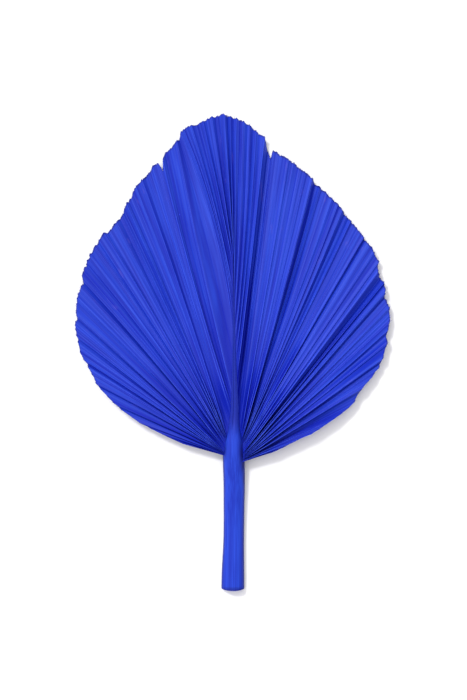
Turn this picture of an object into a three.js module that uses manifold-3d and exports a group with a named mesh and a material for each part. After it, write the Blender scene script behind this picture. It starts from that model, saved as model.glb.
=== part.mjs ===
// Fan palm leaf: dried, trimmed to a broad drop shape and dyed blue, lying with its ribbed underside up.
// Lengths are millimetres and angles are degrees, if not said otherwise.
// +Y runs from the cut end of the stalk to the tip, +Z is up.
// The origin lies on the surface, under the middle of the leaf's plan rectangle.
import * as THREE from "three";
import { mergeVertices } from "three/addons/utils/BufferGeometryUtils.js";
import Module from "manifold-3d";

const HUB = [-0.2, -86.1]; // plan point where the pleats gather

// Trimmed rim: angle about the hub from straight up, and radius
const RIM = [
  [-85, 44.5], [-83.4, 48.5], [-83.1, 52], [-80, 60.5], [-77.6, 68.5], [-75.2, 84], [-74.7, 87.5],
  [-72.6, 96.5], [-72.1, 100], [-70, 110.5], [-68, 119.5], [-65.2, 134], [-62, 144.5], [-60, 152],
  [-58.6, 160], [-55, 171], [-52, 180], [-50, 183.5], [-48, 190.5], [-45, 197], [-41.7, 202],
  [-41.1, 207], [-40, 209.5], [-36, 217], [-33, 222], [-31, 226], [-29.8, 225], [-26, 231.5],
  [-24.8, 234], [-24.4, 237.5], [-22.6, 243], [-21.6, 246], [-21.1, 250], [-19.4, 253],
  [-18, 257.5], [-15, 266.5], [-14.7, 265], [-14.2, 256.5], [-13.8, 266], [-13.1, 273],
  [-9.9, 282.5], [-9.5, 288.5], [-8, 291.4], [-7.4, 293], [-5.4, 295.2], [-3.6, 298.8],
  [-1.8, 301.2], [-0.8, 299.2], [0.4, 297.2], [2, 293.8], [3.2, 290.2], [4.2, 286], [5.9, 281],
  [6.7, 269.5], [7.42, 263.8], [7.6, 271.3], [8, 271.2], [10, 267], [12, 262.5], [14, 257.5],
  [16.2, 253.5], [16.8, 250.5], [18, 248.5], [20.5, 243], [23, 239.5], [25, 235], [27, 231.5],
  [29.5, 226.5], [32, 222.5], [35, 218.5], [38.3, 212], [38.8, 206.5], [40, 204], [43.6, 200],
  [44.3, 195.5], [46, 191.5], [48, 189], [50, 184], [53, 173.5], [56, 166.5], [58, 159.5],
  [60.6, 152], [61.6, 148.5], [62.1, 144], [63.8, 136], [64.4, 130.5], [66, 124.5], [69.6, 116.5],
  [72, 103.5], [72.8, 101.5], [73.2, 96.5], [76, 85.5], [78, 76.5], [80, 69], [80.4, 64], [85, 52],
  [90, 44], [95, 36],
];

// Chief creases: angle at the rim, height above (+) or below (-) the leaf's own surface.
// Where a high and a low crease stand close together, the face between them is steep.
const CHIEF_CREASES = [
  [-85, 0.3], [-80.5, -0.59], [-79, 0.51], [-76.4, 0.26], [-75.7, -0.59], [-74.9, 0.59],
  [-71.1, 0.34], [-70.3, -1.02], [-69.4, 0.68], [-66.1, 0.42], [-65.4, -1.1], [-64.7, 0.85],
  [-60.9, 0.42], [-60.2, -1.44], [-59.4, 1.19], [-55.8, 0.34], [-55.1, -1.19], [-54.4, 0.94],
  [-51.1, 0.34], [-50.4, -1.27], [-49.7, 1.02], [-47.5, 0.26], [-46.9, -0.51], [-46.3, 0.59],
  [-43.1, 0.26], [-42.5, -1.53], [-41.9, 1.19], [-39.4, 0.26], [-38.8, -0.85], [-38.1, 0.77],
  [-34.1, 0.42], [-33.5, -0.85], [-32.9, 1.02], [-31, 1.36], [-30.2, -1.27], [-27.3, 1.5],
  [-26.4, -1.4], [-25.2, 1.5], [-24.4, -0.6], [-23.6, 1.6], [-22.9, -1.5], [-20.4, 1],
  [-19.9, 0.4], [-18.8, 1.3], [-18, -1.6], [-14.7, 1.5], [-14.2, 1.4], [-13.7, 1.7], [-13, -1.6],
  [-12.3, -1.9], [-10.4, 1.3], [-9.9, -1.1], [-9.4, 1.2], [-7.4, 1], [-6.9, -0.7], [-5.3, 1],
  [-4.8, -0.7], [-3.7, 1], [-3.1, -1.1], [-1.5, 1.4], [-1, -1.3], [-0.5, 1.2], [0.1, -0.6],
  [0.6, 0.9], [1.2, -0.7], [1.8, 1], [2.5, -0.7], [3, 0.9], [3.6, -0.8], [4.2, 1], [4.8, -0.2],
  [5.8, 2.8], [6.7, -3.6], [7.42, -3.2], [7.6, -2.7], [10.9, 1], [11.6, 0], [14.7, 1.2],
  [15.2, 0.9], [16.4, 2.8], [17.4, -2.7], [18.4, 0.4], [19, -0.8], [21.6, 1.7], [22.3, 1.1],
  [23.3, 1.7], [23.9, 0.6], [24.7, 1.6], [25.6, -1.5], [26.1, -0.4], [26.7, -1.5], [27.4, 1],
  [27.9, -0.4], [31.8, 1.7], [32.3, -0.8], [32.8, 1.4], [35.8, 1.7], [36.4, 1], [38.1, 1.8],
  [38.6, 1.1], [39.5, 2.5], [40.2, 0.6], [40.6, -0.7], [41.3, -2.6], [42.4, 0.9], [42.9, -0.8],
  [43.9, 1.4], [44.5, 1.7], [45.3, -2.1], [48, 1.3], [48.8, 0], [52.7, 1.3], [53.6, -1],
  [55.9, 1.1], [56.5, 0.2], [59.2, 1.8], [60.1, -2], [65.1, 2.2], [66.6, -1.6], [69.4, -2],
  [74, 1], [77.5, 0.3], [84, 1], [89.5, -0.4], [95, 0.5],
];

// Height of the leaf's own surface at the rim, by angle about the hub
const RIM_HEIGHTS = [
  [-85, 12], [-75, 11.6], [-67, 10.5], [-57, 8.4], [-40, 6], [-18, 3.4], [-8, 4.8], [0, 5.6],
  [7, 5.6], [18, 3.4], [40, 6.6], [55, 9], [66, 11], [80, 14], [95, 14.5],
];
const HUB_HEIGHT = 11.5;
const SAG = 1.25; // how late along a pleat the surface falls from the hub to the rim
const WAVE_HEIGHT = 0.9; // slow waves across the blade
const WAVE_X = { length: 31, shift: 1.1 }; // millimetres to a radian, and radians
const WAVE_Y = { length: 47, shift: 0.4 };
const WAVE_FADE = 1.6; // the waves are flat at the hub and would be again this many radii out

// Small pleats between the chief creases, by angle: their pitch and their height
const SMALL_PITCH = [
  [-85, 3.4], [-60, 1.9], [-30, 1.5], [-19, 1.4], [-11, 1.2], [-10, 0.62], [4, 0.62], [6, 0.8],
  [8, 1.3], [20, 1.5], [45, 1.6], [60, 1.9], [75, 3.2], [95, 5],
];
const SMALL_HEIGHTS = [
  [-85, 0.9], [-60, 0.7], [-30, 0.5], [-21, 0.35], [-11, 0.35], [-9.5, 0.7], [4, 0.7], [7.5, 0.3],
  [20, 0.25], [28, 0.4], [39, 0.3], [43, 0.5], [60, 0.8], [95, 0.7],
];
const SMALL_SHARE = 1.5; // a gap holds small pleats once it is this many pitches wide
const UNEVEN = 0.22; // random share of a small pleat's place and height
const RIM_UNEVEN = 0.9; // random step of the cut from crease to crease
const CHIEF_UNEVEN = 0.4; // share of that step at the chief creases
const RIM_TOOTH = 0.5; // high creases reach this far past the cut, low ones fall short of it
const SEED = 11;

// Sheet
const SHEET = 0.85; // thickness across the sheet on a gentle face
const STEEP_SHARE = 0.75; // how far a crease takes its thickness from its steeper face
const FULL_PLEAT = 50; // distance from the root at which a pleat reaches its full height
const ROWS = 11; // steps along a pleat
const ROW_CROWDING = 1.2; // above 1, the rows stand closer near the root
const REST_ANGLES = [-18, 17.4]; // low creases whose tips rest on the surface
const REST_WEAR = 0.45; // how deep the surface cuts their flat spots
const CLEARANCE = 0.9; // least height of the rest of the blade's lower side

// Roots along the costa, by angle at the rim: y, share of the costa's half width,
// and how far the middle of the pleat bows to the right
const ROOTS = [
  [-85, -92.9, 0.8, 0], [-60, -91.1, 0.8, 1.5], [-50, -89.7, 0.8, 0.5], [-42, -87, 0.8, 3.2],
  [-38.5, -84.3, 0.8, 3.2], [-33, -81.6, 0.8, 1.5], [-26.5, -78.9, 0.8, 0.5],
  [-18.5, -76.5, 0.8, 2], [-13.5, -47.4, 0.8, -3.2], [-10.3, -36, 0.8, -1.5],
  [-9.8, 8.4, 0.7, 2.7], [-9.3, 26, 0.6, 7.5], [-8.4, 42, 0.6, 5], [-7.4, 56, 0.6, 2.5],
  [-6.4, 68, 0.5, 1.5], [-5, 80, 0.5, 0.5], [-3, 87, 0.5, 0], [-1, 91, 0, 0], [0, 78, 0.5, 0],
  [1, 47, 0.6, 0], [2.3, 24.6, 0.7, 1.7], [3.5, 3.9, 0.8, 2.5], [5.5, -15.9, 0.9, 1],
  [6.6, -39.3, 0.9, 0.5], [7.4, -56.4, 0.9, 0], [8.5, -71, 0.9, 0], [12, -77.5, 0.9, 0.5],
  [17.4, -79.5, 0.9, 1.3], [25, -81.6, 0.9, 0.5], [33, -86, 0.88, 0], [40.5, -91.5, 0.85, 0],
  [45, -94, 0.85, 0], [60, -96.5, 0.8, 0], [75, -97.5, 0.8, 0], [95, -98.5, 0.8, 0],
];

const COSTA_END = -1; // angle of the crease that carries on from the end of the costa

// Stalk and costa: y, middle, half width, height of the underside and of the top
const STALK = [
  [-226.5, -0.4, 10.4, 0, 10.4], [-200.4, -0.3, 10.2, 0, 10.2], [-168.9, 0.4, 9.3, 0, 10.2],
  [-137.4, 0.7, 9.4, 0.6, 11.4], [-113.1, 0.8, 9.7, 2, 13.4], [-99.6, 0.5, 9.8, 3.6, 15],
  [-89.7, 0.2, 9.4, 5, 15.9], [-81.6, 0.5, 8.4, 6.2, 15.9], [-70.8, 0.5, 5.9, 7.6, 15.2],
  [-57.3, 1, 4.1, 8.6, 13.2], [-42.9, 1.2, 3.4, 9, 12.4], [-23.1, 1, 2.6, 9, 11.8],
  [6.6, 0.7, 1.7, 8.4, 10.9], [47.1, 0.4, 1.1, 7.4, 9.4], [90.3, 0.2, 0.6, 6.6, 7.8],
];
const STALK_POINTS = 20; // points round a section
const STALK_SQUARENESS = 0.82; // 1 is an ellipse, less is fuller at the sides
const STALK_BELLY = 0.12; // height of the widest line as a share of the section
const FLAT_BELLY = 1.7; // the lower half is drawn this many times deeper, then cut flat
const CUT_MIDDLE = -214.6; // y of the bowed cut end at its middle
const CUT_CORNER = -212.5; // and at the corners of the piece that cuts it
const CUT_HALF_WIDTH = 12.6;
const CUT_FAR = -240;
const CUT_LOW = -10;
const CUT_HIGH = 20;
const CUT_STEPS = 8;

const LEAF_COLOUR = 0x354bcb;

const radians = THREE.MathUtils.degToRad;

// Repeatable random numbers from 0 to 1
function randomSource(seed) {
  let state = seed;
  return () => {
    state = (state + 0x6d2b79f5) | 0;
    let mixed = Math.imul(state ^ (state >>> 15), 1 | state);
    mixed = (mixed + Math.imul(mixed ^ (mixed >>> 7), 61 | mixed)) ^ mixed;
    return ((mixed ^ (mixed >>> 14)) >>> 0) / 4294967296;
  };
}

const random = randomSource(SEED);
const either = () => 2 * random() - 1;

// Straight-line reading of a table whose first column rises
function read(table, at, column = 1) {
  const after = table.findIndex((row) => row[0] >= at);
  if (after === 0) return table[0][column];
  if (after < 0) return table[table.length - 1][column];
  const a = table[after - 1];
  const b = table[after];
  return a[column] + ((b[column] - a[column]) * (at - a[0])) / (b[0] - a[0]);
}

// All creases from the left margin to the right one, with the small pleats filled in
function allCreases() {
  const creases = [];
  CHIEF_CREASES.forEach(([angle, height], i) => {
    creases.push({ angle, height });
    const next = CHIEF_CREASES[i + 1];
    if (!next) return;
    const gap = next[0] - angle;
    const pitch = read(SMALL_PITCH, angle + gap / 2);
    if (gap < SMALL_SHARE * pitch) return;
    const pairs = Math.max(1, Math.round(gap / pitch - 0.5));
    const step = gap / (2 * pairs + 1);
    const rises = next[1] > height;
    for (let j = 1; j <= 2 * pairs; j++) {
      const place = j + UNEVEN * either();
      const up = rises === (j % 2 === 1) ? 1 : -1;
      const small = (read(SMALL_HEIGHTS, angle) / 2) * (1 + 2 * UNEVEN * either());
      const along = place / (2 * pairs + 1);
      creases.push({
        angle: angle + step * place,
        height: height + (next[1] - height) * along + up * small,
      });
    }
  });
  return creases;
}

// Plan of one crease: root, rim tip and the point that bends it
function planOf(crease) {
  const side = crease.angle < COSTA_END ? -1 : 1;
  const chief = CHIEF_CREASES.some(([angle]) => angle === crease.angle);
  const step = RIM_UNEVEN * (chief ? CHIEF_UNEVEN : 1);
  const radius = read(RIM, crease.angle) + step * either() + RIM_TOOTH * Math.sign(crease.height);
  const a = radians(crease.angle);
  const tip = new THREE.Vector2(HUB[0] + radius * Math.sin(a), HUB[1] + radius * Math.cos(a));
  const rootY = read(ROOTS, crease.angle);
  const middle = read(STALK, rootY);
  const half = read(STALK, rootY, 2);
  const root = new THREE.Vector2(middle + side * read(ROOTS, crease.angle, 2) * half, rootY);
  const bend = root.clone().lerp(tip, 0.5);
  bend.x += 2 * read(ROOTS, crease.angle, 3);
  return { root, tip, bend, radius };
}

// A point of a crease, from 0 at its root to 1 at the rim
function along({ root, tip, bend }, t) {
  const first = root.clone().lerp(bend, t);
  return first.lerp(bend.clone().lerp(tip, t), t);
}

// Height of the leaf's own surface, without its pleats: out runs from 0 at the hub to 1 at the rim
function surfaceHeight({ x, y }, rimHeight, out) {
  const fall = (rimHeight - HUB_HEIGHT) * Math.min(1, out) ** SAG;
  const across = Math.sin(x / WAVE_X.length + WAVE_X.shift);
  const lengthwise = Math.sin(y / WAVE_Y.length + WAVE_Y.shift);
  return HUB_HEIGHT + fall + WAVE_HEIGHT * across * lengthwise * out * (WAVE_FADE - out);
}

// The sheet as columns of points, one column to a crease
function sheetColumns() {
  const hub = new THREE.Vector2(...HUB);
  return allCreases().map((crease) => {
    const plan = planOf(crease);
    const rimHeight = read(RIM_HEIGHTS, crease.angle);
    const points = [];
    for (let row = 0; row <= ROWS; row++) {
      const point = along(plan, (row / ROWS) ** ROW_CROWDING);
      const out = point.distanceTo(hub) / plan.radius;
      const pleat = crease.height * Math.min(1, point.distanceTo(plan.root) / FULL_PLEAT);
      const z = surfaceHeight(point, rimHeight, out) + pleat;
      points.push({ x: point.x, y: point.y, z });
    }
    return { angle: crease.angle, points };
  });
}

// Half of the sheet's upright thickness at each point, from the slopes of the faces beside it
function addThickness(columns) {
  const slope = (a, b) => Math.abs(a.z - b.z) / Math.hypot(a.x - b.x, a.y - b.y);
  columns.forEach(({ points }, c) => {
    points.forEach((point, row) => {
      const slopes = [columns[c - 1], columns[c + 1]]
        .filter(Boolean)
        .map((beside) => slope(point, beside.points[row]));
      const stretch = slopes.map((s) => Math.sqrt(1 + s * s));
      const steep = Math.max(...stretch);
      const gentle = Math.min(...stretch);
      point.half = (SHEET / 2) * (STEEP_SHARE * steep + (1 - STEEP_SHARE) * gentle);
    });
  });
}

// Two creases come down to the surface at the rim, and the rest of the blade keeps clear of it
function settle(columns) {
  columns.forEach(({ angle, points }) => {
    points.forEach((point, row) => {
      const rests = row === ROWS && REST_ANGLES.includes(angle);
      point.z = rests ? point.half - REST_WEAR : Math.max(point.z, point.half + CLEARANCE);
    });
  });
}

// A closed body from the columns: both faces are split alike
function sheetBody(columns) {
  const rows = ROWS + 1;
  const positions = [];
  columns.forEach(({ points }) => {
    points.forEach(({ x, y, z, half }) => positions.push(x, y, z + half, x, y, z - half));
  });
  const top = (c, r) => 2 * (c * rows + r);
  const low = (c, r) => top(c, r) + 1;
  const faces = [];
  const wall = (a, b, c, d) => faces.push(a, b, c, a, c, d);
  for (let c = 0; c < columns.length - 1; c++) {
    for (let r = 0; r < ROWS; r++) {
      wall(top(c, r), top(c + 1, r), top(c + 1, r + 1), top(c, r + 1));
      faces.push(low(c, r), low(c + 1, r + 1), low(c + 1, r));
      faces.push(low(c, r), low(c, r + 1), low(c + 1, r + 1));
    }
    wall(top(c + 1, 0), top(c, 0), low(c, 0), low(c + 1, 0));
    wall(top(c, ROWS), top(c + 1, ROWS), low(c + 1, ROWS), low(c, ROWS));
  }
  const last = columns.length - 1;
  for (let r = 0; r < ROWS; r++) {
    wall(top(0, r), top(0, r + 1), low(0, r + 1), low(0, r));
    wall(top(last, r + 1), top(last, r), low(last, r), low(last, r + 1));
  }
  return { positions, faces };
}

// The stalk and the costa it runs out into: rings of points with a domed top and a flat underside
function stalkBody() {
  const positions = [];
  const faces = [];
  const power = (v, p) => Math.sign(v) * Math.abs(v) ** p;
  STALK.forEach(([y, middle, half, under, top]) => {
    const widest = under + (top - under) * STALK_BELLY;
    for (let k = 0; k < STALK_POINTS; k++) {
      const a = (2 * Math.PI * (k + 0.5)) / STALK_POINTS;
      const up = power(Math.sin(a), STALK_SQUARENESS);
      const rise = up > 0 ? (top - widest) * up : (widest - under) * FLAT_BELLY * up;
      const x = middle + half * power(Math.cos(a), STALK_SQUARENESS);
      positions.push(x, y, Math.max(under, widest + rise));
    }
  });
  const rings = STALK.length;
  for (let ring = 0; ring < rings - 1; ring++) {
    for (let k = 0; k < STALK_POINTS; k++) {
      const next = (k + 1) % STALK_POINTS;
      const a = ring * STALK_POINTS + k;
      const b = ring * STALK_POINTS + next;
      faces.push(a, a + STALK_POINTS, b + STALK_POINTS, a, b + STALK_POINTS, b);
    }
  }
  const last = (rings - 1) * STALK_POINTS;
  for (let k = 1; k < STALK_POINTS - 1; k++) {
    faces.push(0, k, k + 1);
    faces.push(last, last + k + 1, last + k);
  }
  return { positions, faces };
}

// What the slightly bowed cut takes off the stalk's end
function cutPiece() {
  const shape = new THREE.Shape();
  shape.moveTo(-CUT_HALF_WIDTH, CUT_FAR);
  shape.lineTo(CUT_HALF_WIDTH, CUT_FAR);
  for (let i = CUT_STEPS; i >= 0; i--) {
    const across = (2 * i) / CUT_STEPS - 1;
    const y = CUT_MIDDLE + (CUT_CORNER - CUT_MIDDLE) * across * across;
    shape.lineTo(CUT_HALF_WIDTH * across, y);
  }
  const depth = CUT_HIGH - CUT_LOW;
  return new THREE.ExtrudeGeometry(shape, { depth, bevelEnabled: false }).translate(0, 0, CUT_LOW);
}

const wasm = await Module();
wasm.setup();

function solidFrom(geometry) {
  geometry.deleteAttribute("normal");
  geometry.deleteAttribute("uv");
  const merged = mergeVertices(geometry);
  const mesh = new wasm.Mesh({
    numProp: 3,
    vertProperties: merged.attributes.position.array,
    triVerts: new Uint32Array(merged.index.array),
  });
  return new wasm.Manifold(mesh);
}

function geometryFrom({ positions, faces }) {
  return new THREE.BufferGeometry()
    .setAttribute("position", new THREE.Float32BufferAttribute(positions, 3))
    .setIndex(faces);
}

const columns = sheetColumns();
addThickness(columns);
settle(columns);
const sheet = solidFrom(geometryFrom(sheetBody(columns)));
const stalk = solidFrom(geometryFrom(stalkBody())).subtract(solidFrom(cutPiece()));
const joined = stalk.add(sheet).trimByPlane([0, 0, 1], 0).getMesh();

const leafGeometry = geometryFrom({
  positions: Array.from(joined.vertProperties),
  faces: Array.from(joined.triVerts),
}).toNonIndexed();
leafGeometry.computeVertexNormals();
const dyedLeaf = new THREE.MeshStandardMaterial({
  name: "dyed_leaf",
  color: LEAF_COLOUR,
  roughness: 0.75,
});
const leaf = new THREE.Mesh(leafGeometry, dyedLeaf);
leaf.name = "fan_palm_leaf";

const group = new THREE.Group();
group.name = "fan_palm_leaf_part";
group.add(leaf);

export default group;
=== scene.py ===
import logging
import math
from dataclasses import dataclass, field
from enum import Enum
from typing import Any, Iterator, Sequence, Union

import bpy
import numpy as np
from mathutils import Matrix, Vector


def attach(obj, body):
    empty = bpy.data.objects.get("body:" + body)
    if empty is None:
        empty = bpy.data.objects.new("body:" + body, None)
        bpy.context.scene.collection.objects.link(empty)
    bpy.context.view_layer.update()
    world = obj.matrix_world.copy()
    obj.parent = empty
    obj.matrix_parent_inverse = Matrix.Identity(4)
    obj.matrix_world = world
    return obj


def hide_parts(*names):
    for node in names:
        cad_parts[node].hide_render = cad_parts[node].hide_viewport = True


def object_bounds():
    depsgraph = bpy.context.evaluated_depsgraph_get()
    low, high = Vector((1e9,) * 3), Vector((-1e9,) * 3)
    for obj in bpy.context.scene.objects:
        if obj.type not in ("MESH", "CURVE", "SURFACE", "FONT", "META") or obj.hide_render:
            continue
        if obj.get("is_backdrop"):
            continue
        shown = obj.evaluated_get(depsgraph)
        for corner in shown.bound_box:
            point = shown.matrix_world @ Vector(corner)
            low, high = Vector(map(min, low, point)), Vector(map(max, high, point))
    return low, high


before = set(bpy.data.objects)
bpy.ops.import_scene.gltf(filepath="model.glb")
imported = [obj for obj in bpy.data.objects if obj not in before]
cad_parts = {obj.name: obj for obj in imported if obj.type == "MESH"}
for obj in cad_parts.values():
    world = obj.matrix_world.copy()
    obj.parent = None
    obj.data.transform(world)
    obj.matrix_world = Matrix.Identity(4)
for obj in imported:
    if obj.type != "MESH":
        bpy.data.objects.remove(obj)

# Dresses a dried, dyed fan palm leaf: pleated blade, nerves, ragged rim, stalk and cut end.
# Tables are in millimetres and degrees, as a leaf is measured on the bench, and MM turns them to
# metres where a mesh is made. +Y runs from the cut end of the stalk to the tip and +Z is up.

LOG = logging.getLogger("palm_leaf")
MM = 0.001
NODE = "fan_palm_leaf"
BODY = "root"
PLEAT_MAP = "pleats"

Socket = bpy.types.NodeSocket
Value = Union[float, int, bool, str, tuple, bpy.types.Material, Socket, bpy.types.Node]
Table = Sequence[Sequence[float]]

HUB = np.array([-0.2, -86.1])  # the blade's angles and radii are measured from here
NOISE_BAND = {"From Min": 0.35, "From Max": 0.7}  # where most values of a noise pattern lie

# Trimmed rim: angle about the hub from straight up, and radius
RIM: Table = (
    (-85, 44.5), (-83.4, 48.5), (-83.1, 52), (-80, 60.5), (-77.6, 68.5), (-75.2, 84),
    (-74.7, 87.5), (-72.6, 96.5), (-72.1, 100), (-70, 110.5), (-68, 119.5), (-65.2, 134),
    (-62, 144.5), (-60, 152), (-58.6, 160), (-55, 171), (-52, 180), (-50, 183.5), (-48, 190.5),
    (-45, 197), (-41.7, 202), (-41.1, 207), (-40, 209.5), (-36, 217), (-33, 222), (-31, 226),
    (-29.8, 225), (-26, 231.5), (-24.8, 234), (-24.4, 237.5), (-22.6, 243), (-21.6, 246),
    (-21.1, 250), (-19.4, 253), (-18, 257.5), (-15, 266.5), (-14.7, 265), (-14.2, 256.5),
    (-13.8, 266), (-13.1, 273), (-9.9, 282.5), (-9.5, 288.5), (-8, 291.4), (-7.4, 293),
    (-5.4, 295.2), (-3.6, 298.8), (-1.8, 301.2), (-0.8, 299.2), (0.4, 297.2), (2, 293.8),
    (3.2, 290.2), (4.2, 286), (5.9, 281), (6.7, 269.5), (7.42, 263.8), (7.6, 271.3), (8, 271.2),
    (10, 267), (12, 262.5), (14, 257.5), (16.2, 253.5), (16.8, 250.5), (18, 248.5), (20.5, 243),
    (23, 239.5), (25, 235), (27, 231.5), (29.5, 226.5), (32, 222.5), (35, 218.5), (38.3, 212),
    (38.8, 206.5), (40, 204), (43.6, 200), (44.3, 195.5), (46, 191.5), (48, 189), (50, 184),
    (53, 173.5), (56, 166.5), (58, 159.5), (60.6, 152), (61.6, 148.5), (62.1, 144), (63.8, 136),
    (64.4, 130.5), (66, 124.5), (69.6, 116.5), (72, 103.5), (72.8, 101.5), (73.2, 96.5),
    (76, 85.5), (78, 76.5), (80, 69), (80.4, 64), (85, 52), (90, 44), (95, 36),
)

# Chief creases: angle at the rim, height above or below the leaf's own surface
CHIEF_CREASES: Table = (
    (-85, 0.3), (-80.5, -0.59), (-79, 0.51), (-76.4, 0.26), (-75.7, -0.59), (-74.9, 0.59),
    (-71.1, 0.34), (-70.3, -1.02), (-69.4, 0.68), (-66.1, 0.42), (-65.4, -1.1), (-64.7, 0.85),
    (-60.9, 0.42), (-60.2, -1.44), (-59.4, 1.19), (-55.8, 0.34), (-55.1, -1.19), (-54.4, 0.94),
    (-51.1, 0.34), (-50.4, -1.27), (-49.7, 1.02), (-47.5, 0.26), (-46.9, -0.51), (-46.3, 0.59),
    (-43.1, 0.26), (-42.5, -1.53), (-41.9, 1.19), (-39.4, 0.26), (-38.8, -0.85), (-38.1, 0.77),
    (-34.1, 0.42), (-33.5, -0.85), (-32.9, 1.02), (-31, 1.36), (-30.2, -1.27), (-27.3, 1.5),
    (-26.4, -1.4), (-25.2, 1.5), (-24.4, -0.6), (-23.6, 1.6), (-22.9, -1.5), (-20.4, 1),
    (-19.9, 0.4), (-18.8, 1.3), (-18, -1.6), (-14.7, 1.5), (-14.2, 1.4), (-13.7, 1.7), (-13, -1.6),
    (-12.3, -1.9), (-10.4, 1.3), (-9.9, -1.1), (-9.4, 1.2), (-7.4, 1), (-6.9, -0.7), (-5.3, 1),
    (-4.8, -0.7), (-3.7, 1), (-3.1, -1.1), (-1.5, 1.4), (-1, -1.3), (-0.5, 1.2), (0.1, -0.6),
    (0.6, 0.9), (1.2, -0.7), (1.8, 1), (2.5, -0.7), (3, 0.9), (3.6, -0.8), (4.2, 1), (4.8, -0.2),
    (5.8, 2.8), (6.7, -3.6), (7.42, -3.2), (7.6, -2.7), (10.9, 1), (11.6, 0), (14.7, 1.2),
    (15.2, 0.9), (16.4, 2.8), (17.4, -2.7), (18.4, 0.4), (19, -0.8), (21.6, 1.7), (22.3, 1.1),
    (23.3, 1.7), (23.9, 0.6), (24.7, 1.6), (25.6, -1.5), (26.1, -0.4), (26.7, -1.5), (27.4, 1),
    (27.9, -0.4), (31.8, 1.7), (32.3, -0.8), (32.8, 1.4), (35.8, 1.7), (36.4, 1), (38.1, 1.8),
    (38.6, 1.1), (39.5, 2.5), (40.2, 0.6), (40.6, -0.7), (41.3, -2.6), (42.4, 0.9), (42.9, -0.8),
    (43.9, 1.4), (44.5, 1.7), (45.3, -2.1), (48, 1.3), (48.8, 0), (52.7, 1.3), (53.6, -1),
    (55.9, 1.1), (56.5, 0.2), (59.2, 1.8), (60.1, -2), (65.1, 2.2), (66.6, -1.6), (69.4, -2),
    (74, 1), (77.5, 0.3), (84, 1), (89.5, -0.4), (95, 0.5),
)

# Height of the leaf's own surface at the rim, by angle about the hub
RIM_HEIGHTS: Table = (
    (-85, 12), (-75, 11.6), (-67, 10.5), (-57, 8.4), (-40, 6), (-18, 3.4), (-8, 4.8), (0, 5.6),
    (7, 5.6), (18, 3.4), (40, 6.6), (55, 9), (66, 11), (80, 14), (95, 14.5),
)

# Roots along the costa, by angle at the rim: y, share of the costa's half width,
# and how far the middle of the pleat bows to the right
ROOTS: Table = (
    (-85, -92.9, 0.8, 0), (-60, -91.1, 0.8, 1.5), (-50, -89.7, 0.8, 0.5), (-42, -87, 0.8, 3.2),
    (-38.5, -84.3, 0.8, 3.2), (-33, -81.6, 0.8, 1.5), (-26.5, -78.9, 0.8, 0.5),
    (-18.5, -76.5, 0.8, 2), (-13.5, -47.4, 0.8, -3.2), (-10.3, -36, 0.8, -1.5),
    (-9.8, 8.4, 0.7, 2.7), (-9.3, 26, 0.6, 7.5), (-8.4, 42, 0.6, 5), (-7.4, 56, 0.6, 2.5),
    (-6.4, 68, 0.5, 1.5), (-5, 80, 0.5, 0.5), (-3, 87, 0.5, 0), (-1, 91, 0, 0), (0, 78, 0.5, 0),
    (1, 47, 0.6, 0), (2.3, 24.6, 0.7, 1.7), (3.5, 3.9, 0.8, 2.5), (5.5, -15.9, 0.9, 1),
    (6.6, -39.3, 0.9, 0.5), (7.4, -56.4, 0.9, 0), (8.5, -71, 0.9, 0), (12, -77.5, 0.9, 0.5),
    (17.4, -79.5, 0.9, 1.3), (25, -81.6, 0.9, 0.5), (33, -86, 0.88, 0), (40.5, -91.5, 0.85, 0),
    (45, -94, 0.85, 0), (60, -96.5, 0.8, 0), (75, -97.5, 0.8, 0), (95, -98.5, 0.8, 0),
)

# Small pleats between the chief creases, by angle: their pitch and their height
SMALL_PITCH: Table = (
    (-85, 3.4), (-60, 1.9), (-30, 1.5), (-19, 1.4), (-11, 1.2), (-10, 0.62), (4, 0.62), (6, 0.8),
    (8, 1.3), (20, 1.5), (45, 1.6), (60, 1.9), (75, 3.2), (95, 5),
)
SMALL_HEIGHTS: Table = (
    (-85, 0.9), (-60, 0.7), (-30, 0.5), (-21, 0.35), (-11, 0.35), (-9.5, 0.7), (4, 0.7),
    (7.5, 0.3), (20, 0.25), (28, 0.4), (39, 0.3), (43, 0.5), (60, 0.8), (95, 0.7),
)

# How much painted shade lies as a line in each fold, by angle
FOLD_SHADE: Table = (
    (-85, 1), (-50, 0.9), (-40, 0.6), (-20, 0.6), (0, 0.8), (20, 0.4), (35, 0.3), (50, 0.35),
    (60, 0.5), (75, 0.8),
)

# Share of a pleat's height that is left at the rim, by angle
RIM_EASE: Table = (
    (-85, 0.65), (-20, 0.6), (-10, 0.75), (5, 0.9), (30, 0.9), (60, 0.75), (95, 0.65),
)

# Share of a pleat's height that is left halfway out, by angle
MID_EASE: Table = (
    (-40, 1), (-33, 0.75), (-27, 0.45), (-19, 0.45), (-16, 0.7), (-8, 0.7), (3, 0.85), (5.8, 1),
    (8, 1), (19, 0.6), (29, 0.6), (34, 1),
)

COSTA_END = -1  # angle of the crease that carries on from the end of the costa

# Stalk and costa: y, middle, half width, height of the underside and of the top
STALK: Table = (
    (-226.5, -0.4, 10.4, 0, 10.4), (-200.4, -0.3, 10.2, 0, 10.2), (-168.9, 0.4, 9.3, 0, 10.2),
    (-137.4, 0.7, 9.4, 0.6, 11.4), (-113.1, 0.8, 9.7, 2, 13.4), (-99.6, 0.5, 9.8, 3.6, 15),
    (-89.7, 0.2, 9.4, 5, 15.9), (-81.6, 0.5, 8.4, 6.2, 15.9), (-70.8, 0.5, 5.9, 7.6, 15.2),
    (-57.3, 1, 4.1, 8.6, 13.2), (-42.9, 1.2, 3.4, 9, 12.4), (-23.1, 1, 2.6, 9, 11.8),
    (6.6, 0.7, 1.7, 8.4, 10.9), (47.1, 0.4, 1.1, 7.4, 9.4), (90.3, 0.2, 0.6, 6.6, 7.8),
)


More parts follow.
